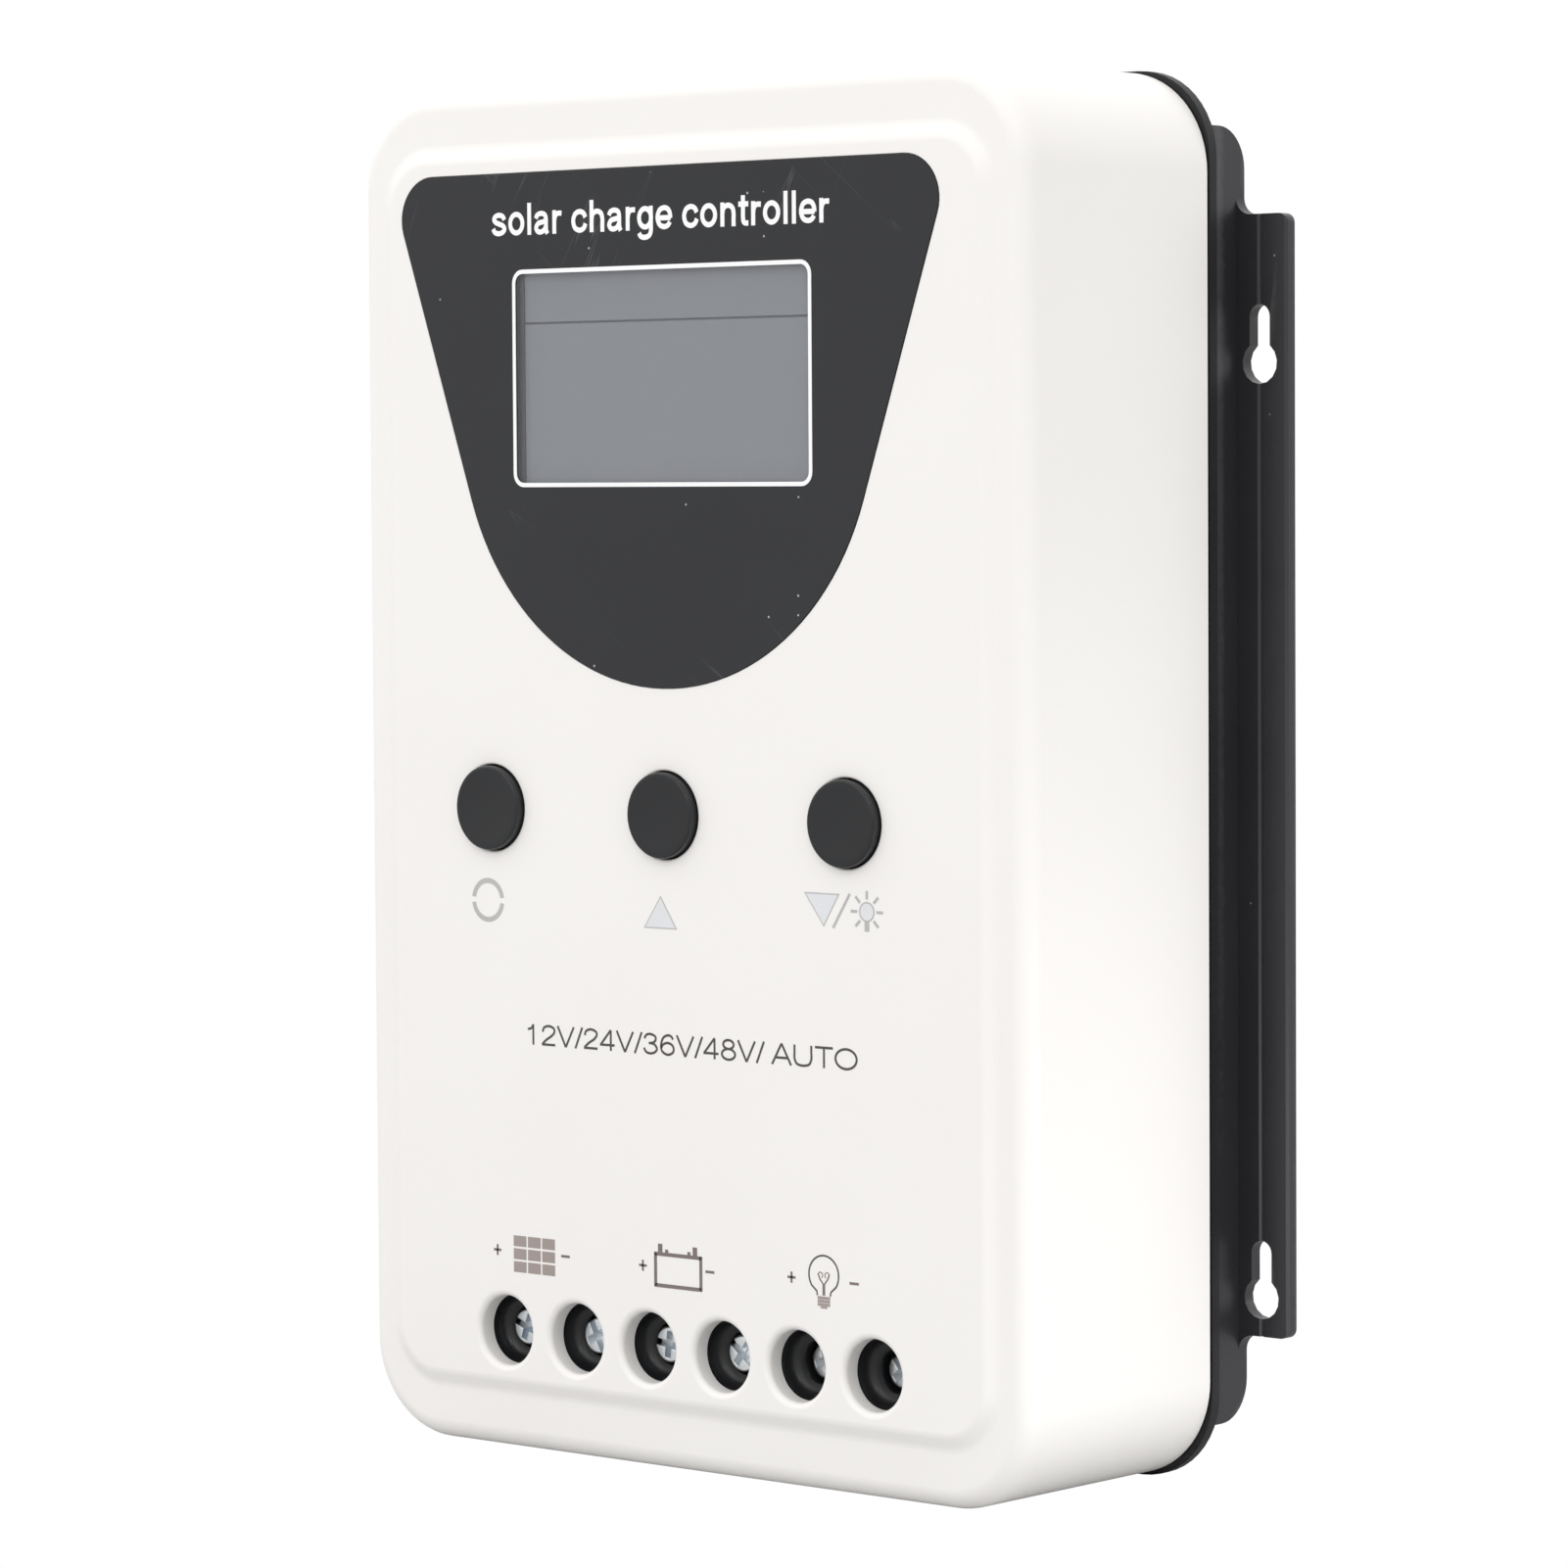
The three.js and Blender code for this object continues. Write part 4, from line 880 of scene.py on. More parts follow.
class Paint:
    """Every finish of the unit, each made once when it is first asked for."""

    @staticmethod
    @cache
    def of(name: str) -> bpy.types.Material:
        """The material with that name."""
        return Paint.finishes()[name].build()

    @staticmethod
    def ink(ink: Ink) -> Finish:
        """The finish of a printed ink."""
        lighter = tuple(min(1.0, c * 1.07 + 0.01) for c in ink.value)
        return Finish(ink.finish, ink.value, lighter, 0.42, 0.05, 5200.0, 0.004)

    @staticmethod
    @cache
    def finishes() -> dict[str, Finish]:
        """The unit's finishes by name."""
        z = Bench.datum.at(0, 0, DISPLAY_Z).z
        made = [
            *(Paint.ink(ink) for ink in Ink),
            Finish(
                "cover_plastic", (0.838, 0.817, 0.793), (0.850, 0.831, 0.810),
                0.42, 0.04, 2100.0, 0.006, specular=0.45, dust=0.05, dust_cells=160.0,
            ),
            Finish(
                "film_black", (0.0220, 0.0225, 0.0248), (0.0248, 0.0253, 0.0277),
                0.50, 0.03, 3800.0, 0.003, specular=0.27, dust=0.5, dust_cells=330.0, scuffs=0.05,
            ),
            ClearFilm("film_clear", (0.5, 0.51, 0.53), (0.48, 0.49, 0.51), 0.12, 0.02, 3000.0, 0.0),
            # segment_glass: its second shade also serves as painted shade towards the top of the display
            SegmentGlass(
                "segment_glass", (0.215, 0.226, 0.248), (0.206, 0.218, 0.243),
                0.30, 0.03, 3000.0, 0.0, specular=0.3, dust=0.08, dust_cells=300.0,
                line_z=z + 0.0080, top_z=z + 0.016, bottom_z=z - 0.016,
            ),
            Finish(
                "holder_black", (0.018, 0.018, 0.020), (0.024, 0.024, 0.026), 0.5, 0.05, 2400.0, 0.01
            ),
            Finish(
                "cap_black", (0.0125, 0.0130, 0.0145), (0.0150, 0.0155, 0.0170),
                0.22, 0.04, 3000.0, 0.0015, specular=0.37, dust=0.4, dust_cells=520.0,
            ),
            Finish(
                "block_black", (0.010, 0.0105, 0.012), (0.014, 0.0145, 0.016),
                0.30, 0.05, 1800.0, 0.006, specular=0.4,
            ),
            Finish(
                "frame_black", (0.010, 0.010, 0.012), (0.014, 0.014, 0.016),
                0.48, 0.06, 2200.0, 0.012, specular=0.26, wear=0.06, wear_shade=(0.12, 0.12, 0.13),
            ),
            DrawnMetal(
                "anodised_black", (0.018, 0.018, 0.021), (0.023, 0.023, 0.027),
                0.40, 0.05, 1500.0, 0.004, metallic=0.0, specular=0.5, dust=0.25, dust_cells=260.0,
                wear=0.16, wear_shade=(0.25, 0.25, 0.26), lines=1400.0,
            ),
            DrawnMetal(
                "zinc_plate", (0.68, 0.73, 0.77), (0.80, 0.83, 0.85),
                0.28, 0.06, 1500.0, 0.003, metallic=1.0, lines=5200.0,
            ),
            DrawnMetal(
                "brass_plain", (0.72, 0.52, 0.22), (0.60, 0.42, 0.17),
                0.30, 0.08, 1500.0, 0.003, metallic=1.0, lines=2600.0,
            ),
            SolderMask(
                "solder_mask", (0.012, 0.105, 0.036), (0.016, 0.125, 0.046), 0.3, 0.05, 1200.0, 0.004
            ),
            Finish("nylon_natural", (0.74, 0.71, 0.62), (0.79, 0.77, 0.69), 0.45, 0.05, 900.0, 0.006),
            Finish("pad_grey", (0.30, 0.33, 0.37), (0.35, 0.38, 0.42), 0.8, 0.06, 1600.0, 0.03),
            RibbonStripes("ribbon_grey", (0.42, 0.43, 0.44), (0.46, 0.47, 0.48), 0.5, 0.05),
            Finish(
                "package_black", (0.030, 0.030, 0.032), (0.040, 0.040, 0.042), 0.6, 0.06, 1800.0, 0.015
            ),
        ]
        return {finish.name: finish for finish in made}


# ---------------------------------------------------------------- casing


@dataclass
class Casing:
    """The white cover, the black frame behind it, the heatsink and the case screws."""

    half_width: float = 63.5
    height: float = 200.0
    depth: float = 41.0
    corner: float = 14.5
    rim: float = 3.0
    wall: float = 2.2
    front_wall: float = 2.0
    face_side_inset: float = 5.3
    face_end_inset: float = 8.4
    step_width: float = 2.0
    step_rise: float = 1.0
    step_rounding: float = 0.55
    button_hole: float = 6.38
    button_flare: float = 0.35
    terminal_hole: float = 5.15
    terminal_flare: float = 1.0
    wire_slot: tuple[float, float, float] = (9.2, 15.0, 23.6)
    button_xs: tuple[float, ...] = (-36.3, -2.2, 31.9)
    button_z: float = 94.8
    terminal_xs: tuple[float, ...] = (-34.675, -20.525, -6.375, 7.775, 21.925, 36.075)

    def shell(self) -> Piece:
        """The cover's outside: a rounded block with a softened rim and a raised face inside a flat border."""
        at = Bench.datum.at
        cover = Bench.rounded_block(
            "front_cover_shell",
            at(-self.half_width, 0, 0),
            at(self.half_width, self.depth, self.height),
            self.corner,
            20,
        )
        front = at(0, 0, 0).y
        Bench.edit(cover, "EDGE")
        Bench.pick(cover, "edges", lambda e: all(abs(v.co.y - front) < SAME_PLACE for v in e.verts))
        bpy.ops.mesh.bevel(offset=self.rim * MM, segments=9, affect="EDGES")
        bpy.ops.mesh.select_mode(type="FACE")
        bpy.ops.mesh.select_all(action="DESELECT")
        Bench.pick(cover, "faces", lambda f: f.normal.y < -0.999 and f.calc_area() > 0.005)
        border = self.face_side_inset - self.rim
        bpy.ops.mesh.inset(thickness=border * MM)
        plain = self.height - 2 * (self.rim + border)
        wanted = self.height - 2 * self.face_end_inset
        middle = at(0, 0, self.height / 2)
        bpy.ops.transform.resize(value=(1, 1, wanted / plain), center_override=middle)
        bpy.ops.mesh.inset(thickness=self.step_width * MM, depth=self.step_rise * MM)
        raised = at(0, -self.step_rise, 0).y
        bpy.ops.mesh.select_mode(type="EDGE")
        bpy.ops.mesh.select_all(action="DESELECT")
        outer = self.half_width - self.face_side_inset + 0.2

        def on_step(edge: bmesh.types.BMEdge) -> bool:
            """Whether an edge is the step's top or foot."""
            places = [vertex.co for vertex in edge.verts]
            top = all(abs(place.y - raised) < SAME_PLACE for place in places)
            foot = all(
                abs(place.y - front) < SAME_PLACE and abs(place.x) < outer * MM and self.inside_border(place)
                for place in places
            )
            return top or foot

        Bench.pick(cover, "edges", on_step)
        bpy.ops.mesh.bevel(offset=self.step_rounding * MM, segments=4, affect="EDGES")
        return Bench.close(cover)

    def inside_border(self, place: Vector) -> bool:
        """Whether a point of the front plane lies on the raised face's foot rather than on the rim."""
        low = Bench.datum.at(0, 0, self.face_end_inset - 0.3).z
        high = Bench.datum.at(0, 0, self.height - self.face_end_inset + 0.3).z
        return low < place.z < high

    def mouth(self, name: str, x: float, z: float, radius: float, flare: float) -> Piece:
        """A round cutter whose front end opens out in a smooth lip."""
        face = -self.step_rise
        lip = rolled_edge(radius, face, -flare, 15)
        profile = [(radius + flare + 0.3, face - 1.0), (radius + flare + 0.3, face - 0.02), *lip]
        return Bench.turned(name, x, z, [*profile, (radius, self.front_wall + 1.0)])

    def cut_openings(self, cover: Piece, pocket: Piece, display: Piece) -> None:
        """Hollows the cover and opens it for the film, the display, the buttons, the screws and the wires."""
        at = Bench.datum.at
        hollow = Bench.rounded_block(
            "hollow",
            at(self.wall - self.half_width, self.front_wall, self.wall),
            at(self.half_width - self.wall, self.depth + 2, self.height - self.wall),
            self.corner - self.wall,
            14,
        )
        buttons = [
            self.mouth(f"button_mouth_{i}", x, self.button_z, self.button_hole, self.button_flare)
            for i, x in enumerate(self.button_xs)
        ]
        terminals = [
            self.mouth(f"terminal_mouth_{i}", x, TERMINAL_Z, self.terminal_hole, self.terminal_flare)
            for i, x in enumerate(self.terminal_xs)
        ]
        width, near, far = self.wire_slot
        left, right = self.terminal_xs[0] - width / 2, self.terminal_xs[-1] + width / 2
        slot = Bench.block("wire_slot", at(left, near, -1), at(right, far, self.wall + 1))
        Bench.cut(cover, hollow, pocket, display, *buttons, *terminals, slot)

    def build_cover(self, pocket: Piece, display: Piece) -> None:
        """Makes the cover and dresses it."""
        cover = self.shell()
        self.cut_openings(cover, pocket, display)
        Bench.smooth(cover, 32)
        Bench.finish(cover, "cover_plastic", "white_plastic", replaces=("front_cover",))

    def build_back(self) -> None:
        """Makes the rear frame and the heatsink with eased edges."""
        frame = Bench.eased_copy("rear_frame", 0.3)
        Bench.finish(frame, "frame_black", "black_plastic", ("rear_frame",))
        sink = Bench.eased_copy("heatsink", 0.22)
        Bench.finish(sink, "anodised_black", "black_aluminium", ("heatsink",))

    def build_screws(self) -> None:
        """Makes the case screws and the display board's screws once each and copies them to their nodes."""
        for family, radius, height in (("case_screw", 2.8, 2.2), ("display_screw", 2.5, 1.8)):
            screws = Original()
            for corner in CORNERS:
                node = f"{family}_{corner}"
                low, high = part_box(node)
                top = Vector(((low.x + high.x) / 2, high.y, (low.z + high.z) / 2))
                head = PanHead(radius, height, (high.y - low.y) / MM)
                turn = 0.0 if screws.first is None else 0.4 * len(node)
                name = f"{node}_turned"
                screw = screws.again(name, top, partial(head.build, name, top), turn)
                Bench.finish(screw, "zinc_plate", "zinc_steel", (node,))


@dataclass
class PanHead:
    """A cross-recessed pan-head screw whose head faces back."""

    radius: float
    height: float
    length: float
    shank_share: float = 0.52
    core_share: float = 0.8
    pitch: float = 0.7
    recess_arm: float = 0.62
    recess_wing: float = 0.17
    recess_depth: float = 0.62

    def build(self, name: str, top: Vector) -> Piece:
        """Makes the screw.

        Args:
            name: the piece's name.
            top: the middle of the head's highest point, in metres.

        Returns:
            The screw, not yet dressed.
        """
        datum = Bench.datum
        y_top = (top.y - datum.at(0, 0, 0).y) / MM
        x, z = top.x / MM, (top.z - datum.bottom_z) / MM
        seat = y_top - self.height
        shank = self.radius * self.shank_share
        tip = y_top - self.length
        rises = [math.radians(degrees) for degrees in (0, 18, 36, 52, 66, 78)]
        dome = [(self.radius * math.cos(t) ** 0.6, seat + self.height * math.sin(t)) for t in rises]
        profile = [(0.25, tip), (shank * 0.7, tip + 0.8)]
        y = tip + 1.6
        while y < seat - 0.6:
            profile += [(shank, y), (shank * self.core_share, y + self.pitch / 2)]
            y += self.pitch
        profile += [(shank, seat - 0.2), (shank, seat)]
        screw = Bench.turned(name, x, z, [*profile, *dome, (0.2, y_top)], 28)
        arm, wing = self.radius * self.recess_arm, self.radius * self.recess_wing
        floor = y_top - self.height * self.recess_depth
        for half_x, half_z in ((arm, wing), (wing, arm)):
            low = datum.at(x - half_x, floor, z - half_z)
            Bench.cut(screw, Bench.block("recess", low, datum.at(x + half_x, y_top + 1, z + half_z)))
        Bench.ease(screw, 0.05, 1, 40)
        Bench.smooth(screw)
        return screw


# ---------------------------------------------------------------- display


@dataclass
class DisplayPanel:
    """The black film, its window, its print and the display behind it."""

    centre_x: float = -2.2
    top_z: float = 187.4
    half_width: float = 51.5
    length: float = 74.4
    taper: float = 19.0
    corner: float = 6.2
    thickness: float = 0.5
    proud: float = 0.15
    edge_gap: float = 0.12
    display_z: float = DISPLAY_Z
    display_size: Pair = (54.4, 30.0)
    window_size: Pair = (56.4, 30.8)
    window_corner: float = 1.6
    outline_box: tuple[float, float, float, float] = (-31.2, 141.8, 26.3, 173.4)
    outline_width: float = 0.62
    heading: str = "solar charge controller"
    heading_span: Pair = (-35.3, 29.9)
    heading_z: Pair = (178.4, 181.8)
    print_height: float = 0.03

    def outline(self, margin: float = 0.0) -> list[Pair]:
        """The film's outline, drawn out by a margin: straight top, tapering sides and a round lower end."""
        corner_x = self.half_width - self.corner
        corner_z = self.top_z - self.corner
        apex_z = self.top_z - self.length
        cos, sin = math.cos(math.radians(self.taper)), math.sin(math.radians(self.taper))
        radius = (corner_x * cos - (corner_z - apex_z) * sin + self.corner) / (1 - sin)
        corner = self.corner + margin
        return [
            *arc(self.centre_x + corner_x, corner_z, corner, -self.taper, 90, 14),
            *arc(self.centre_x - corner_x, corner_z, corner, 90, 180 + self.taper, 14),
            *arc(self.centre_x, apex_z + radius, radius + margin, 180 + self.taper, 360 - self.taper, 48),
        ]

    @property
    def front(self) -> float:
        """The film's front face."""
        return -1.0 - self.proud

    def around_display(self, half_x: float, half_z: float) -> list[Pair]:
        """A rounded rectangle about the display's middle."""
        return rounded_outline(
            self.centre_x - half_x,
            self.display_z - half_z,
            self.centre_x + half_x,
            self.display_z + half_z,
            self.window_corner,
        )

    def window_outline(self, play: float = 0.0) -> list[Pair]:
        """The window's outline, smaller all round by the play."""
        return self.around_display(self.window_size[0] / 2 - play, self.window_size[1] / 2 - play)

    def pocket(self) -> Piece:
        """The cutter for the shallow pocket that the film lies in."""
        floor = self.front + self.thickness + 0.3
        return Bench.plate("film_pocket", self.outline(self.edge_gap), -3.0, floor)

    def display_opening(self) -> Piece:
        """The cutter for the hole behind the window."""
        outline = self.around_display(self.display_size[0] / 2 + 2.0, self.display_size[1] / 2 + 2.0)
        return Bench.plate("display_opening", outline, -2.0, 3.0)

    def build(self) -> None:
        """Makes the film, the window, the display and the print."""
        film = Bench.plate("display_film", self.outline(), self.front, self.front + self.thickness)
        Bench.cut(film, Bench.plate("window_cut", self.window_outline(), self.front - 1, self.front + 1))
        Bench.ease(film, 0.07, 2, 50)
        Bench.smooth(film)
        Bench.finish(film, "film_black", "black_film", replaces=("display_panel",))
        clear = Bench.plate(
            "display_window_film", self.window_outline(self.edge_gap), self.front, self.front + self.thickness
        )
        Bench.finish(clear, "film_clear", "clear_window", replaces=("display_window",))
        self.build_display()
        self.build_print()

    def build_display(self) -> None:
        """The display glass with its bevelled edge, and its holder."""
        low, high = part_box("lcd_module")
        spare = Vector(((self.window_size[0] - self.display_size[0]) / 2, 0, 0.3)) * MM
        glass = Bench.block("lcd_glass", low - spare, high + spare)
        Bench.edit(glass)
        Bench.pick(glass, "faces", lambda f: f.normal.y < -0.9)
        bpy.ops.mesh.inset(thickness=0.9 * MM)
        bpy.ops.mesh.inset(thickness=0.15 * MM, depth=-0.08 * MM)
        Bench.close(glass)
        Bench.smooth(glass)
        Bench.finish(glass, "segment_glass", "display_glass", replaces=("lcd_module",))
        holder = Bench.eased_copy("lcd_holder", 0.15)
        Bench.finish(holder, "holder_black", "black_plastic", replaces=("lcd_holder",))

    def build_print(self) -> None:
        """The white line round the display and the heading."""
        face, back = self.front - self.print_height, self.front + 0.02
        border = rounded_outline(*self.outline_box, 2.0)
        line = Bench.ring("display_border_line", border, self.outline_width, face, back)
        Bench.finish(line, Ink.WHITE.finish, "white_plastic")
        words = Lettering(self.heading, SMALL_LETTERS, self.heading_span, self.heading_z, 0.74)
        heading = words.build("panel_heading", face, back)
        Bench.finish(heading, Ink.WHITE.finish, "white_plastic")


class Trace(Enum):
    """How the points of a letter's stroke are followed."""

    LINE = "line"
    CURVE = "curve"
    LOOP = "loop"


@dataclass(frozen=True)
class Glyph:
    """A letter: how far the next one lies from it, and the middle lines of its strokes.

    A loop is an ellipse, given as its middle and its two radii.
    """

    advance: float
    strokes: tuple[tuple[Trace, tuple[Pair, ...]], ...]

    @classmethod
    def read(cls, text: str) -> "Glyph":
        """Reads a letter: its advance, then a trace and its numbers for each stroke, parted by semicolons."""
        advance, *strokes = (part.split() for part in text.split(";"))
        read = []
        for trace, *numbers in strokes:
            values = [float(number) for number in numbers]
            read.append((Trace(trace), tuple(zip(values[::2], values[1::2]))))
        return cls(float(advance[0]), tuple(read))


def read_glyphs(table: dict[str, str]) -> dict[str, Glyph]:
    """Reads a table of letters."""
    return {letter: Glyph.read(text) for letter, text in table.items()}


SMALL_LETTERS = read_glyphs({
    " ": ".46",
    "s": (
        ".93; curve .75 .68 .66 .83 .43 .89 .22 .82 .17 .69 .27 .58 .46 .51 .67 .43 .76 .29 .66 .16 "
        ".43 .1 .21 .16 .11 .31"
    ),
    "o": "1.04; loop .51 .5 .35 .395",
    "l": ".44; line .21 0 .21 1.36",
    "a": (
        ".98; curve .15 .68 .24 .83 .46 .89 .66 .82 .72 .64 .72 .4 .73 .18 .8 .02; curve .72 .56 .5 "
        ".52 .27 .46 .16 .28 .25 .13 .42 .1 .6 .17 .72 .34"
    ),
    "r": ".68; line .21 0 .21 1; curve .21 .52 .26 .74 .4 .86 .62 .86",
    "c": ".96; curve .82 .64 .72 .82 .5 .895 .27 .81 .16 .62 .15 .42 .25 .2 .5 .105 .73 .19 .83 .38",
    "h": "1.03; line .21 0 .21 1.36; curve .21 .5 .27 .76 .5 .88 .73 .79 .81 .58 .81 .3 .81 0",
    "n": "1.03; line .21 0 .21 1; curve .21 .5 .27 .76 .5 .88 .73 .79 .81 .58 .81 .3 .81 0",
    "g": (
        "1.03; loop .49 .51 .33 .385; curve .81 1 .81 .6 .81 .2 .8 -.06 .7 -.24 .47 -.31 .25 -.26 "
        ".16 -.12"
    ),
    "e": (
        "1; curve .84 .46 .83 .64 .72 .83 .5 .895 .27 .81 .16 .6 .16 .4 .27 .19 .5 .105 .71 .16 .82 "
        ".3; line .14 .475 .86 .475"
    ),
    "t": ".62; curve .29 1.26 .29 .8 .29 .3 .36 .13 .57 .11; line .04 .9 .57 .9",
})
CAPITALS = read_glyphs({
    " ": ".3",
    "/": ".36; line .02 -.02 .34 1.02",
    "1": ".76; line .42 0 .42 1; curve .17 .75 .32 .79 .42 .97",
    "2": (
        ".76; curve .1 .66 .16 .87 .38 .965 .6 .87 .64 .7 .52 .5 .28 .3 .12 .12 .08 .04; line .06 "
        ".05 .67 .05"
    ),
    "3": (
        ".76; curve .1 .74 .2 .92 .38 .965 .58 .87 .6 .69 .48 .56 .3 .53; curve .3 .53 .53 .49 .66 "
        ".29 .57 .11 .37 .035 .17 .1 .08 .29"
    ),
    "4": ".76; line .52 0 .52 1; line .52 1 .06 .27; line .03 .27 .69 .27",
    "6": (
        ".76; curve .62 .78 .53 .93 .36 .96 .18 .82 .09 .5 .13 .19 .36 .035 .59 .13 .65 .33 .57 .52 "
        ".38 .6 .19 .52 .1 .36"
    ),
    "8": ".76; loop .37 .755 .23 .21; loop .37 .29 .29 .255",
    "V": ".82; line .03 1 .4 0; line .4 0 .77 1",
    "A": ".9; line .03 0 .44 1; line .44 1 .85 0; line .17 .33 .71 .33",
    "U": ".94; curve .1 1 .1 .66 .1 .36 .2 .11 .46 .035 .72 .11 .82 .36 .82 .66 .82 1",
    "T": ".84; line .04 .955 .8 .955; line .42 0 .42 .955",
    "O": "1.04; loop .52 .5 .45 .465",
})


def between(p: float, q: float, r: float, s: float, t: float) -> float:
    """A smooth value at share t of the way from q to r, with p before them and s after."""
    return 0.5 * (2 * q + (r - p) * t + (2 * p - 5 * q + 4 * r - s) * t * t + (3 * q - p - 3 * r + s) * t**3)


def spline(points: tuple[Pair, ...], steps: int = 5) -> list[Pair]:
    """A smooth curve through points.

    Args:
        points: what it passes through, in order.
        steps: from one point to the next.

    Returns:
        The points of the curve.
    """
    ends = [points[0], *points, points[-1]]
    path = []
    for knots in zip(ends, ends[1:], ends[2:], ends[3:]):
        for i in range(steps):
            t = i / steps
            path.append(tuple(between(*axis, t) for axis in zip(*knots)))
    return [*path, points[-1]]


@dataclass
class Lettering:
    """A line of plain sans print, drawn stroke by stroke and fitted between two ends.

    Heights are the line's foot and the top of an x-high or a capital letter.
    """

    words: str
    letters: dict[str, Glyph]
    span: Pair
    heights: Pair
    weight: float

    def build(self, name: str, front: float, back: float) -> Piece:
        """Makes the line of print.

        Args:
            name: the piece's name.
            front: y of the print's face, in millimetres.
            back: y of its back.

        Returns:
            The print, not yet dressed.
        """
        wide = (self.span[1] - self.span[0]) / sum(self.letters[letter].advance for letter in self.words)
        high = self.heights[1] - self.heights[0]
        plates, x = [], self.span[0]
        for letter in self.words:
            glyph = self.letters[letter]
            for number, (trace, points) in enumerate(glyph.strokes):
                label, face = f"{name}_{len(plates)}", front + 0.003 * number
                if trace is Trace.LOOP:
                    (px, pz), (rx, rz) = points
                    centre = (x + px * wide, self.heights[0] + pz * high)
                    radii = (rx * wide + self.weight / 2, rz * high + self.weight / 2)
                    plates.append(Bench.ring(label, self.oval(centre, radii), self.weight, face, back))
                    continue
                path = [(x + px * wide, self.heights[0] + pz * high) for px, pz in points]
                outline = stroke_outline(spline(tuple(path)) if trace is Trace.CURVE else path, self.weight)
                plates.append(Bench.plate(label, outline, face, back))
            x += glyph.advance * wide
        return Bench.join(name, plates)

    @staticmethod
    def oval(centre: Pair, radii: Pair) -> list[Pair]:
        """The outline of an ellipse."""
        turns = [2 * math.pi * i / 36 for i in range(36)]
        return [(centre[0] + radii[0] * math.cos(t), centre[1] + radii[1] * math.sin(t)) for t in turns]


# ---------------------------------------------------------------- printed marks on the cover


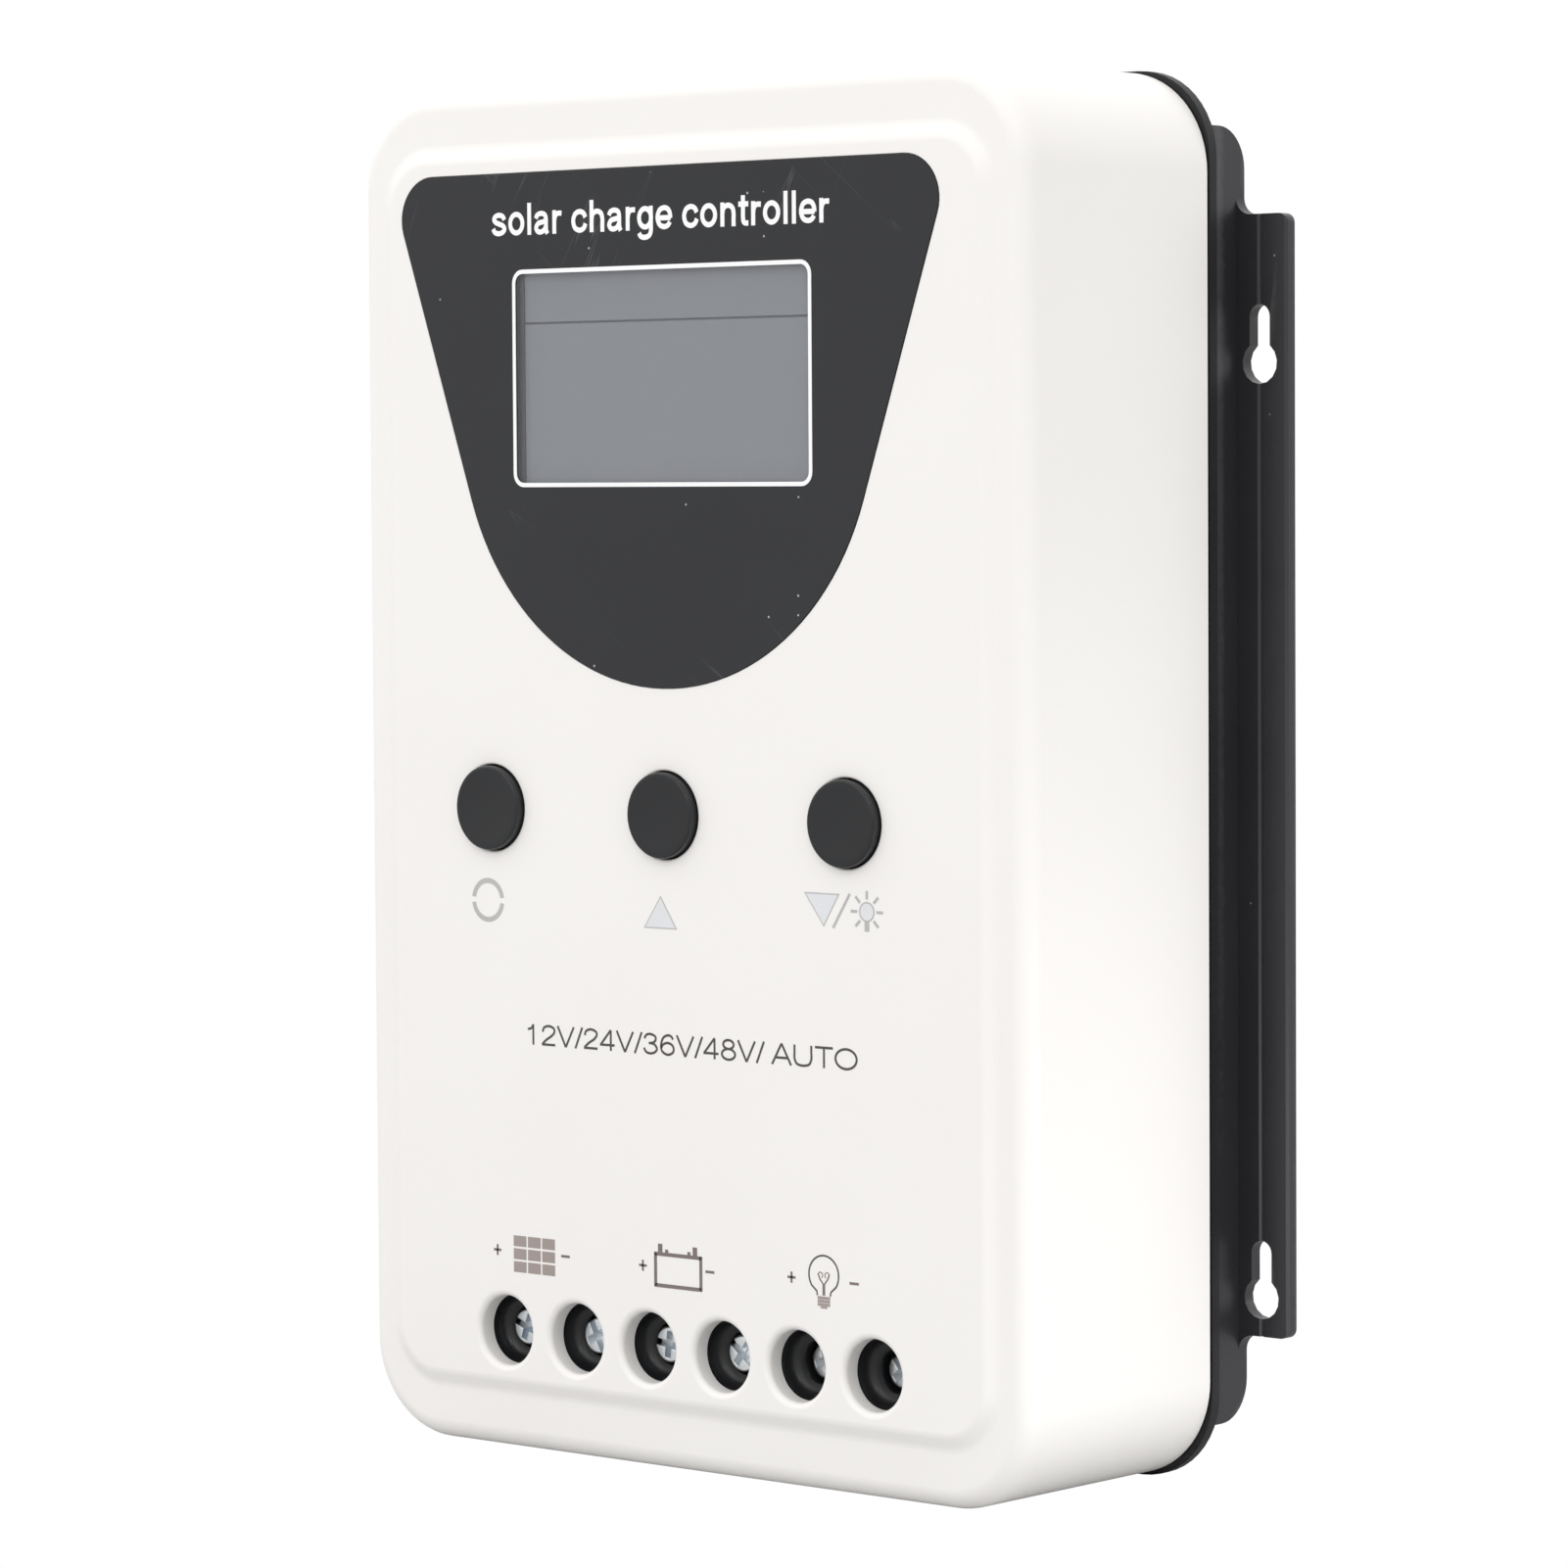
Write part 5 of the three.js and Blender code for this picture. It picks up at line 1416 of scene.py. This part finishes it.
@dataclass
class FacePrint:
    """The marks printed on the raised face."""

    front: float = -1.03
    back: float = -0.98
    marks: dict[Ink, list[Piece]] = field(default_factory=dict)

    def mark(self, ink: Ink, outline: list[Pair]) -> None:
        """Adds one filled mark."""
        pieces = self.marks.setdefault(ink, [])
        pieces.append(Bench.plate(f"mark_{ink.name}_{len(pieces)}", outline, self.front, self.back))

    def line(self, ink: Ink, path: list[Pair], width: float) -> None:
        """Adds one line of even width."""
        self.mark(ink, stroke_outline(path, width))

    def frame(self, ink: Ink, outline: list[Pair], width: float) -> None:
        """Adds an outline of even width."""
        pieces = self.marks.setdefault(ink, [])
        name = f"mark_{ink.name}_{len(pieces)}"
        pieces.append(Bench.ring(name, outline, width, self.front - 0.005, self.back))

    def button_marks(self) -> None:
        """Cycle, up, down and lamp under the buttons."""
        x, z = -37.3, 81.15
        for start in (8, 188):
            band = arc(x, z, 3.25, start, start + 164, 22) + arc(x, z, 2.5, start + 164, start, 22)
            self.mark(Ink.SILVER_GREY, band)
        up = [(-6.3, 78.5), (0.1, 78.5), (-3.05, 83.2)]
        down = [(24.2, 84.9), (27.8, 80.2), (30.7, 84.9)]
        for corners in (up, down):
            self.mark(Ink.PALE_GREY, corners)
            self.frame(Ink.SILVER_GREY, corners, 0.16)
        self.line(Ink.SILVER_GREY, [(32.6, 85.0), (29.5, 80.1)], 0.42)
        self.lamp(35.7, 82.6)

    def lamp(self, x: float, z: float) -> None:
        """A small lamp with rays."""
        self.mark(Ink.PALE_GREY, arc(x, z, 1.3, 0, 345, 23))
        self.frame(Ink.SILVER_GREY, arc(x, z, 1.42, 0, 345, 23), 0.22)
        for turn in (0, 45, 90, 135, 180, 225, 315):
            c, s = math.cos(math.radians(turn)), math.sin(math.radians(turn))
            self.line(Ink.SILVER_GREY, [(x + 1.75 * c, z + 1.75 * s), (x + 2.95 * c, z + 2.95 * s)], 0.42)
        self.line(Ink.SILVER_GREY, [(x, z - 1.3), (x, z - 2.75)], 0.85)

    def signs(self, plus: Pair, minus: Pair) -> None:
        """A plus and a minus."""
        for half_x, half_z in ((0.75, 0.0), (0.0, 0.8)):
            path = [(plus[0] - half_x, plus[1] - half_z), (plus[0] + half_x, plus[1] + half_z)]
            self.line(Ink.BROWN_GREY, path, 0.36)
        self.line(Ink.BROWN_GREY, [(minus[0] - 0.85, minus[1]), (minus[0] + 0.85, minus[1])], 0.38)

    def terminal_marks(self) -> None:
        """Solar panel, battery and bulb over the terminals, each with its plus and minus."""
        x0, x1, z0, z1, gap = -32.7, -24.4, 26.5, 31.9, 0.32
        wide, high = (x1 - x0 - 2 * gap) / 3, (z1 - z0 - 2 * gap) / 3
        for i in range(3):
            for j in range(3):
                x, z = x0 + i * (wide + gap), z0 + j * (high + gap)
                self.mark(Ink.WARM_GREY, [(x, z), (x + wide, z), (x + wide, z + high), (x, z + high)])
        self.frame(Ink.BROWN_GREY, rounded_outline(-4.8, 26.7, 4.5, 31.8, 0.15, 2), 0.55)
        for x in (-3.6, 3.1):
            self.line(Ink.BROWN_GREY, [(x, 31.7), (x, 33.0)], 0.85)
        for x in (-2.35, 1.95):
            self.line(Ink.BROWN_GREY, [(x, 31.7), (x, 32.25)], 0.6)
        self.bulb(27.4, 33.85)
        self.signs((-36.0, 29.5), (-22.3, 29.6))
        self.signs((-7.0, 29.6), (5.95, 29.7))
        self.signs((21.4, 30.3), (33.0, 30.35))

    def bulb(self, x: float, top: float) -> None:
        """A light bulb: glass, filament and cap."""
        radius = 2.75
        middle = top - radius
        glass = arc(x, middle, radius, -35, 215, 26)
        neck = [(x - 1.3, middle - 2.35), (x - 1.2, middle - 2.95)]
        path = [(x + 1.2, middle - 2.95), (x + 1.3, middle - 2.35), *glass, *neck]
        self.line(Ink.DARK_GREY, path, 0.26)
        bends = ((1.05, 0.15), (0.75, -0.55), (0.12, -1.3), (0.12, -2.9))
        filament = [(x - across, middle + up) for across, up in bends]
        self.line(Ink.BROWN_GREY, filament, 0.24)
        self.line(Ink.BROWN_GREY, [(2 * x - a, b) for a, b in filament], 0.24)
        self.line(Ink.WARM_GREY, arc(x - 0.62, middle - 0.05, 0.42, -60, 150, 8), 0.2)
        self.line(Ink.WARM_GREY, arc(x + 0.62, middle - 0.05, 0.42, 30, 240, 8), 0.2)
        for step in range(3):
            z = middle - 3.25 - 0.48 * step
            self.line(Ink.WARM_GREY, [(x - 1.15, z), (x + 1.15, z)], 0.42)
        self.line(Ink.WARM_GREY, [(x - 0.6, middle - 4.6), (x + 0.6, middle - 4.6)], 0.3)

    def build(self) -> None:
        """Makes all the marks, one piece per ink, and the line of voltages."""
        self.button_marks()
        self.terminal_marks()
        for ink, pieces in self.marks.items():
            joined = Bench.join(f"face_marks_{ink.name.lower()}", pieces)
            Bench.finish(joined, ink.finish, "white_plastic")
        words = Lettering("12V/24V/36V/48V/ AUTO", CAPITALS, (-30.2, 34.0), (60.3, 63.3), 0.36)
        voltages = words.build("face_voltages", self.front, self.back)
        Bench.finish(voltages, Ink.DARK_GREY.finish, "white_plastic")


# ---------------------------------------------------------------- push buttons


@dataclass
class PushButtons:
    """The three black caps, with their plungers and switches behind them."""

    names: tuple[str, ...] = ("cycle", "up", "down")
    radius: float = 6.2
    edge: float = 0.36
    dish: float = 0.12
    flange_front: float = 2.3
    flange_back: float = 3.6
    flange_width: float = 1.2
    stem_radius: float = 2.5

    def build(self) -> None:
        """Makes one cap and copies it, and dresses the plungers and switches."""
        caps = Original()
        for name in self.names:
            node = f"button_cap_{name}"
            low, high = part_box(node)
            middle = Vector(((low.x + high.x) / 2, 0, (low.z + high.z) / 2))
            title = f"{node}_moulded"
            cap = caps.again(title, middle, partial(self.cap, title, middle, low.y, high.y))
            Bench.finish(cap, "cap_black", "button_rubber", (node,), f"button_{name}")
            Electronics.dress(f"button_plunger_{name}", "nylon_natural")
            Electronics.dress(f"button_switch_{name}", "package_black")

    def cap(self, name: str, middle: Vector, front_y: float, back_y: float) -> Piece:
        """A round cap with a rolled edge, a faintly dished face and a retaining flange."""
        datum = Bench.datum
        border = datum.at(0, 0, 0).y
        front, back = (front_y - border) / MM, (back_y - border) / MM
        face = [(0.6, front + self.dish), (3.0, front + self.dish * 0.8), (5.0, front + self.dish * 0.25)]
        rolled = rolled_edge(self.radius, front, self.edge, 10)
        wide = self.radius + self.flange_width
        skirt = [(self.radius, self.flange_front), (wide, self.flange_front), (wide, self.flange_back)]
        stem = [(self.stem_radius, self.flange_back), (self.stem_radius, back)]
        profile = [*face, *rolled, *skirt, *stem]
        cap = Bench.turned(name, middle.x / MM, (middle.z - datum.bottom_z) / MM, profile)
        Bench.smooth(cap, 40)
        return cap


# ---------------------------------------------------------------- screw terminals


@dataclass
class TerminalRow:
    """Three two-pole blocks with their contacts, clamp plates and screws."""

    circuits: tuple[str, ...] = ("solar", "battery", "load")
    poles: tuple[str, ...] = ("plus", "minus")
    turns: tuple[float, ...] = (20.0, 62.0, 8.0, 38.0, 74.0, 50.0)
    pole_offset: float = 7.075
    hole: float = 5.15
    bore: float = 3.2
    funnel_front: float = 2.3
    funnel_back: float = 4.7
    bore_back: float = 13.4
    block_back: float = 32.0
    cavity_front: float = 12.9
    cavity_half_width: float = 5.5
    cavity_half_height: float = 6.8
    mouth_front: float = 15.0
    mouth_half_width: float = 4.6
    head_radius: float = 2.7
    head_height: float = 2.5
    head_edge: float = 0.45
    shank_radius: float = 1.45
    shank_length: float = 9.0
    thread_depth: float = 0.22
    pitch: float = 0.5
    slot_half_width: float = 0.5
    slot_depth: float = 1.5
    cross_half_width: float = 0.55
    cross_reach: float = 1.95
    cross_depth: float = 1.9

    def build(self) -> None:
        """Makes every block and pole."""
        blocks, screws = Original(), Original()
        turns = iter(self.turns)
        for circuit in self.circuits:
            node = f"terminal_block_{circuit}"
            low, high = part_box(node)
            title = f"{node}_moulded"
            block = blocks.again(title, (low + high) / 2, partial(self.block, title, low, high))
            Bench.finish(block, "block_black", "black_plastic", (node,))
            for pole in self.poles:
                label = f"{circuit}_{pole}"
                self.eased(f"terminal_contact_{label}", "brass_plain", "brass", HOUSING)
                self.eased(f"clamp_plate_{label}", "zinc_plate", "zinc_steel", f"clamp_{label}")
                node_of_screw = f"terminal_screw_{label}"
                low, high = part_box(node_of_screw)
                head = Vector(((low.x + high.x) / 2, low.y, (low.z + high.z) / 2))
                title = f"{node_of_screw}_turned"
                screw = screws.again(title, head, partial(self.screw, title, head), math.radians(next(turns)))
                Bench.finish(screw, "zinc_plate", "zinc_steel", (node_of_screw,), f"screw_{label}")

    @staticmethod
    def eased(node: str, finish: str, slot: str, body: str) -> None:
        """Replaces a node with a copy whose edges are rounded."""
        Bench.finish(Bench.eased_copy(node, 0.15), finish, slot, (node,), body)

    def funnel(self, x: float) -> Piece:
        """The cutter for one pole's bowl and bore."""
        deep, wide = self.funnel_back - self.funnel_front, self.hole - self.bore
        turns = [math.radians(degrees) for degrees in range(0, 91, 10)]
        bowl = [
            (self.bore + wide * math.cos(t) ** 0.8, self.funnel_front + deep * math.sin(t)) for t in turns
        ]
        profile = [(self.hole, self.funnel_front - 1.0), *bowl, (self.bore, self.bore_back)]
        return Bench.turned("bowl", x, TERMINAL_Z, profile)

    def block(self, name: str, low: Vector, high: Vector) -> Piece:
        """A two-pole block: a moulded body with a bowl, a cavity and a wire mouth for each pole."""
        at = Bench.datum.at
        body = Bench.rounded_block(name, low, high, 0.6, 3)
        middle = (low.x + high.x) / 2 / MM
        for x in (middle - self.pole_offset, middle + self.pole_offset):
            Bench.cut(body, self.funnel(x))
            half, deep = self.cavity_half_width, self.cavity_half_height
            start = at(x - half, self.cavity_front, TERMINAL_Z - deep)
            Bench.cut(body, Bench.block("cavity", start, at(x + half, self.block_back, TERMINAL_Z + deep)))
            half = self.mouth_half_width
            start = at(x - half, self.mouth_front, 1.0)
            end = at(x + half, self.block_back, TERMINAL_Z - 6.0)
            Bench.cut(body, Bench.block("wire_mouth", start, end))
        Bench.smooth(body, 35)
        return body

    def screw(self, name: str, head: Vector) -> Piece:
        """A terminal screw with a combined cross and slot in a cheese head."""
        at = Bench.datum.at
        x, z = head.x / MM, (head.z - Bench.datum.bottom_z) / MM
        front = (head.y - at(0, 0, 0).y) / MM
        back = front + self.head_height
        end = back + self.shank_length
        crown = [(0.5, front), (self.head_radius - 1.0, front + 0.03)]
        rolled = rolled_edge(self.head_radius, front + 0.05, self.head_edge, 15)
        foot = [(self.head_radius, back - 0.1), (self.head_radius - 0.1, back), (self.shank_radius, back)]
        profile = [*crown, *rolled, *foot]
        y = back + self.pitch
        while y < end - 0.6:
            profile += [(self.shank_radius - self.thread_depth, y), (self.shank_radius, y + self.pitch / 2)]
            y += self.pitch
        profile += [(self.shank_radius, end - 0.2), (self.shank_radius - 0.3, end)]
        screw = Bench.turned(name, x, z, profile, 40)
        recesses = (
            ("slot", self.head_radius + 1, self.slot_half_width, self.slot_depth),
            ("cross", self.cross_half_width, self.cross_reach, self.cross_depth),
        )
        for label, half_x, half_z, deep in recesses:
            start = at(x - half_x, front - 1, z - half_z)
            Bench.cut(screw, Bench.block(label, start, at(x + half_x, front + deep, z + half_z)))
        Bench.ease(screw, 0.09, 2, 40)
        Bench.smooth(screw, 35)
        return screw


# ---------------------------------------------------------------- inside


class Electronics:
    """The boards and what they carry, out of sight behind the cover."""

    finishes: dict[str, str] = {
        "display_board": "solder_mask",
        "main_board": "solder_mask",
        "insulating_pad": "pad_grey",
        "capacitor_input": "package_black",
        "capacitor_output": "package_black",
        "controller_chip": "package_black",
        "ribbon_cable": "ribbon_grey",
    }

    @staticmethod
    def dress(node: str, finish: str) -> None:
        """Gives a CAD node its finish."""
        Bench.dress(FRAME["nodes"][node], finish)

    def build(self) -> None:
        """Dresses every inner node."""
        for node, finish in self.finishes.items():
            self.dress(node, finish)
        for number in range(1, 5):
            self.dress(f"mosfet_{number}", "package_black")
        for corner in CORNERS:
            self.dress(f"board_post_{corner}", "nylon_natural")


# ---------------------------------------------------------------- studio


@dataclass
class Studio:
    """A pale floor, soft lights and the camera.

    Each box is a name, a place, what it is aimed at, its size and its power, in metres and watts.
    """

    camera_place: tuple[float, float, float] = (0.56634, -0.65236, 0.14447)
    azimuth: float = 41.04
    elevation: float = 3.05
    roll: float = -0.36
    lens: float = 135.91
    floor_shade: float = 0.56
    world_low: float = 0.58
    world_high: float = 1.30
    front_lift: float = 0.04
    right_drop: float = 0.12
    boxes: tuple[tuple, ...] = (
        ("top_front", (0.0, -0.8, 0.7), (0.0, 0.0, 0.19), 0.5, 0.7),
        ("low_right", (0.18, -0.015, 0.028), (0.06, 0.0, 0.028), 0.05, 0.04),
        ("glint", (0.75, -0.85, 0.95), (0.0, 0.0, 0.1), 0.12, 1.0),
    )

    def build(self) -> None:
        """Sets up everything that isn't the object."""
        self.floor()
        self.lights()
        self.camera()
        view = bpy.context.scene.view_settings
        view.view_transform = "Standard"
        view.look = "None"

    def floor(self) -> None:
        """A wide sheet that the camera sees as plain white and that the unit sees as a soft grey."""
        Bench.clear()
        bpy.ops.mesh.primitive_plane_add(size=14, location=(0, 0, -0.0002))
        sheet = Bench.take("studio_floor")
        material = bpy.data.materials.new("studio_floor")
        material.use_nodes = True
        graph = Graph(material.node_tree)
        grey = (self.floor_shade, self.floor_shade, self.floor_shade, 1.0)
        surface = {"Base Color": grey, "Roughness": 0.9, "Specular IOR Level": 0.1}
        shader = graph.add("ShaderNodeBsdfPrincipled", surface)
        white = graph.add("ShaderNodeEmission", {"Color": (1.0, 1.0, 1.0, 1.0), "Strength": 1.0})
        ray = graph.add("ShaderNodeLightPath")
        seen = graph.add("ShaderNodeMixShader", {0: ray.outputs["Is Camera Ray"]})
        graph.tree.links.new(shader.outputs[0], seen.inputs[1])
        graph.tree.links.new(white.outputs[0], seen.inputs[2])
        graph.add("ShaderNodeOutputMaterial", {"Surface": seen.outputs[0]})
        sheet.data.materials.append(material)
        sheet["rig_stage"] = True

    def lights(self) -> None:
        """A world that is bright above and in front and dim below, and three soft boxes."""
        world = bpy.data.worlds.new("studio")
        world.use_nodes = True
        graph = Graph(world.node_tree)
        toward = graph.add("ShaderNodeTexCoord").outputs["Generated"]
        axes = graph.add("ShaderNodeSeparateXYZ", {0: toward})
        level = graph.span(axes.outputs["Z"], -0.25, 0.35, self.world_low, self.world_high)
        from_front = graph.math("MULTIPLY", axes.outputs["Y"], -self.front_lift)
        from_right = graph.math("MULTIPLY", axes.outputs["X"], -self.right_drop)
        tilt = graph.math("ADD", 1.0, graph.math("ADD", from_front, from_right))
        level = graph.math("MULTIPLY", level, tilt)
        seen = graph.add("ShaderNodeLightPath").outputs["Is Camera Ray"]
        plain = graph.math("MULTIPLY", seen, graph.math("SUBTRACT", 1.0, level))
        strength = graph.math("ADD", level, plain)
        white = (1.0, 1.0, 1.0, 1.0)
        background = graph.add("ShaderNodeBackground", {"Color": white, "Strength": strength})
        graph.add("ShaderNodeOutputWorld", {"Surface": background.outputs[0]})
        bpy.context.scene.world = world
        for name, place, target, size, power in self.boxes:
            bpy.ops.object.light_add(type="AREA", location=place)
            light = bpy.context.object
            light.name = name
            light.data.size = size
            light.data.energy = power
            light.visible_camera = False
            aim = Vector(target) - Vector(place)
            light.rotation_euler = aim.to_track_quat("-Z", "Y").to_euler()

    def camera(self) -> None:
        """The camera, level with the upper half and to the right of the unit."""
        a, e, r = (math.radians(v) for v in (self.azimuth, self.elevation, self.roll))
        back = Vector((math.sin(a) * math.cos(e), -math.cos(a) * math.cos(e), math.sin(e)))
        right = Vector((math.cos(a), math.sin(a), 0))
        up = back.cross(right)
        turned_right = right * math.cos(r) + up * math.sin(r)
        turned_up = up * math.cos(r) - right * math.sin(r)
        bpy.ops.object.camera_add()
        camera = bpy.context.object
        camera.name = "camera"
        turn = Matrix((turned_right, turned_up, back)).transposed()
        camera.matrix_world = Matrix.Translation(self.camera_place) @ turn.to_4x4()
        camera.data.sensor_width = 36.0
        camera.data.lens = self.lens
        camera.data.clip_start = 0.01
        camera.data.clip_end = 100.0
        bpy.context.scene.camera = camera


def corners(bounds: tuple[Vector, Vector]) -> list[list[float]]:
    """A box's two corners as plain lists."""
    return [[round(value, 6) for value in corner] for corner in bounds]


def main() -> None:
    """Builds the unit piece by piece."""
    Bench.datum = Datum.from_frame()
    casing, panel = Casing(), DisplayPanel()
    casing.build_cover(panel.pocket(), panel.display_opening())
    casing.build_back()
    casing.build_screws()
    panel.build()
    FacePrint().build()
    PushButtons().build()
    TerminalRow().build()
    Electronics().build()
    Studio().build()
    Bench.clear()
    sizes = {"cad_box": corners(CAD_BOUNDS), "visual_box": corners(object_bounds())}
    LOG.info("boxes: %s", sizes)


if __name__ == "__main__":
    logging.basicConfig(level=logging.INFO, format="%(name)s: %(message)s")
    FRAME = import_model()
    CAD_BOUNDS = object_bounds()
    main()
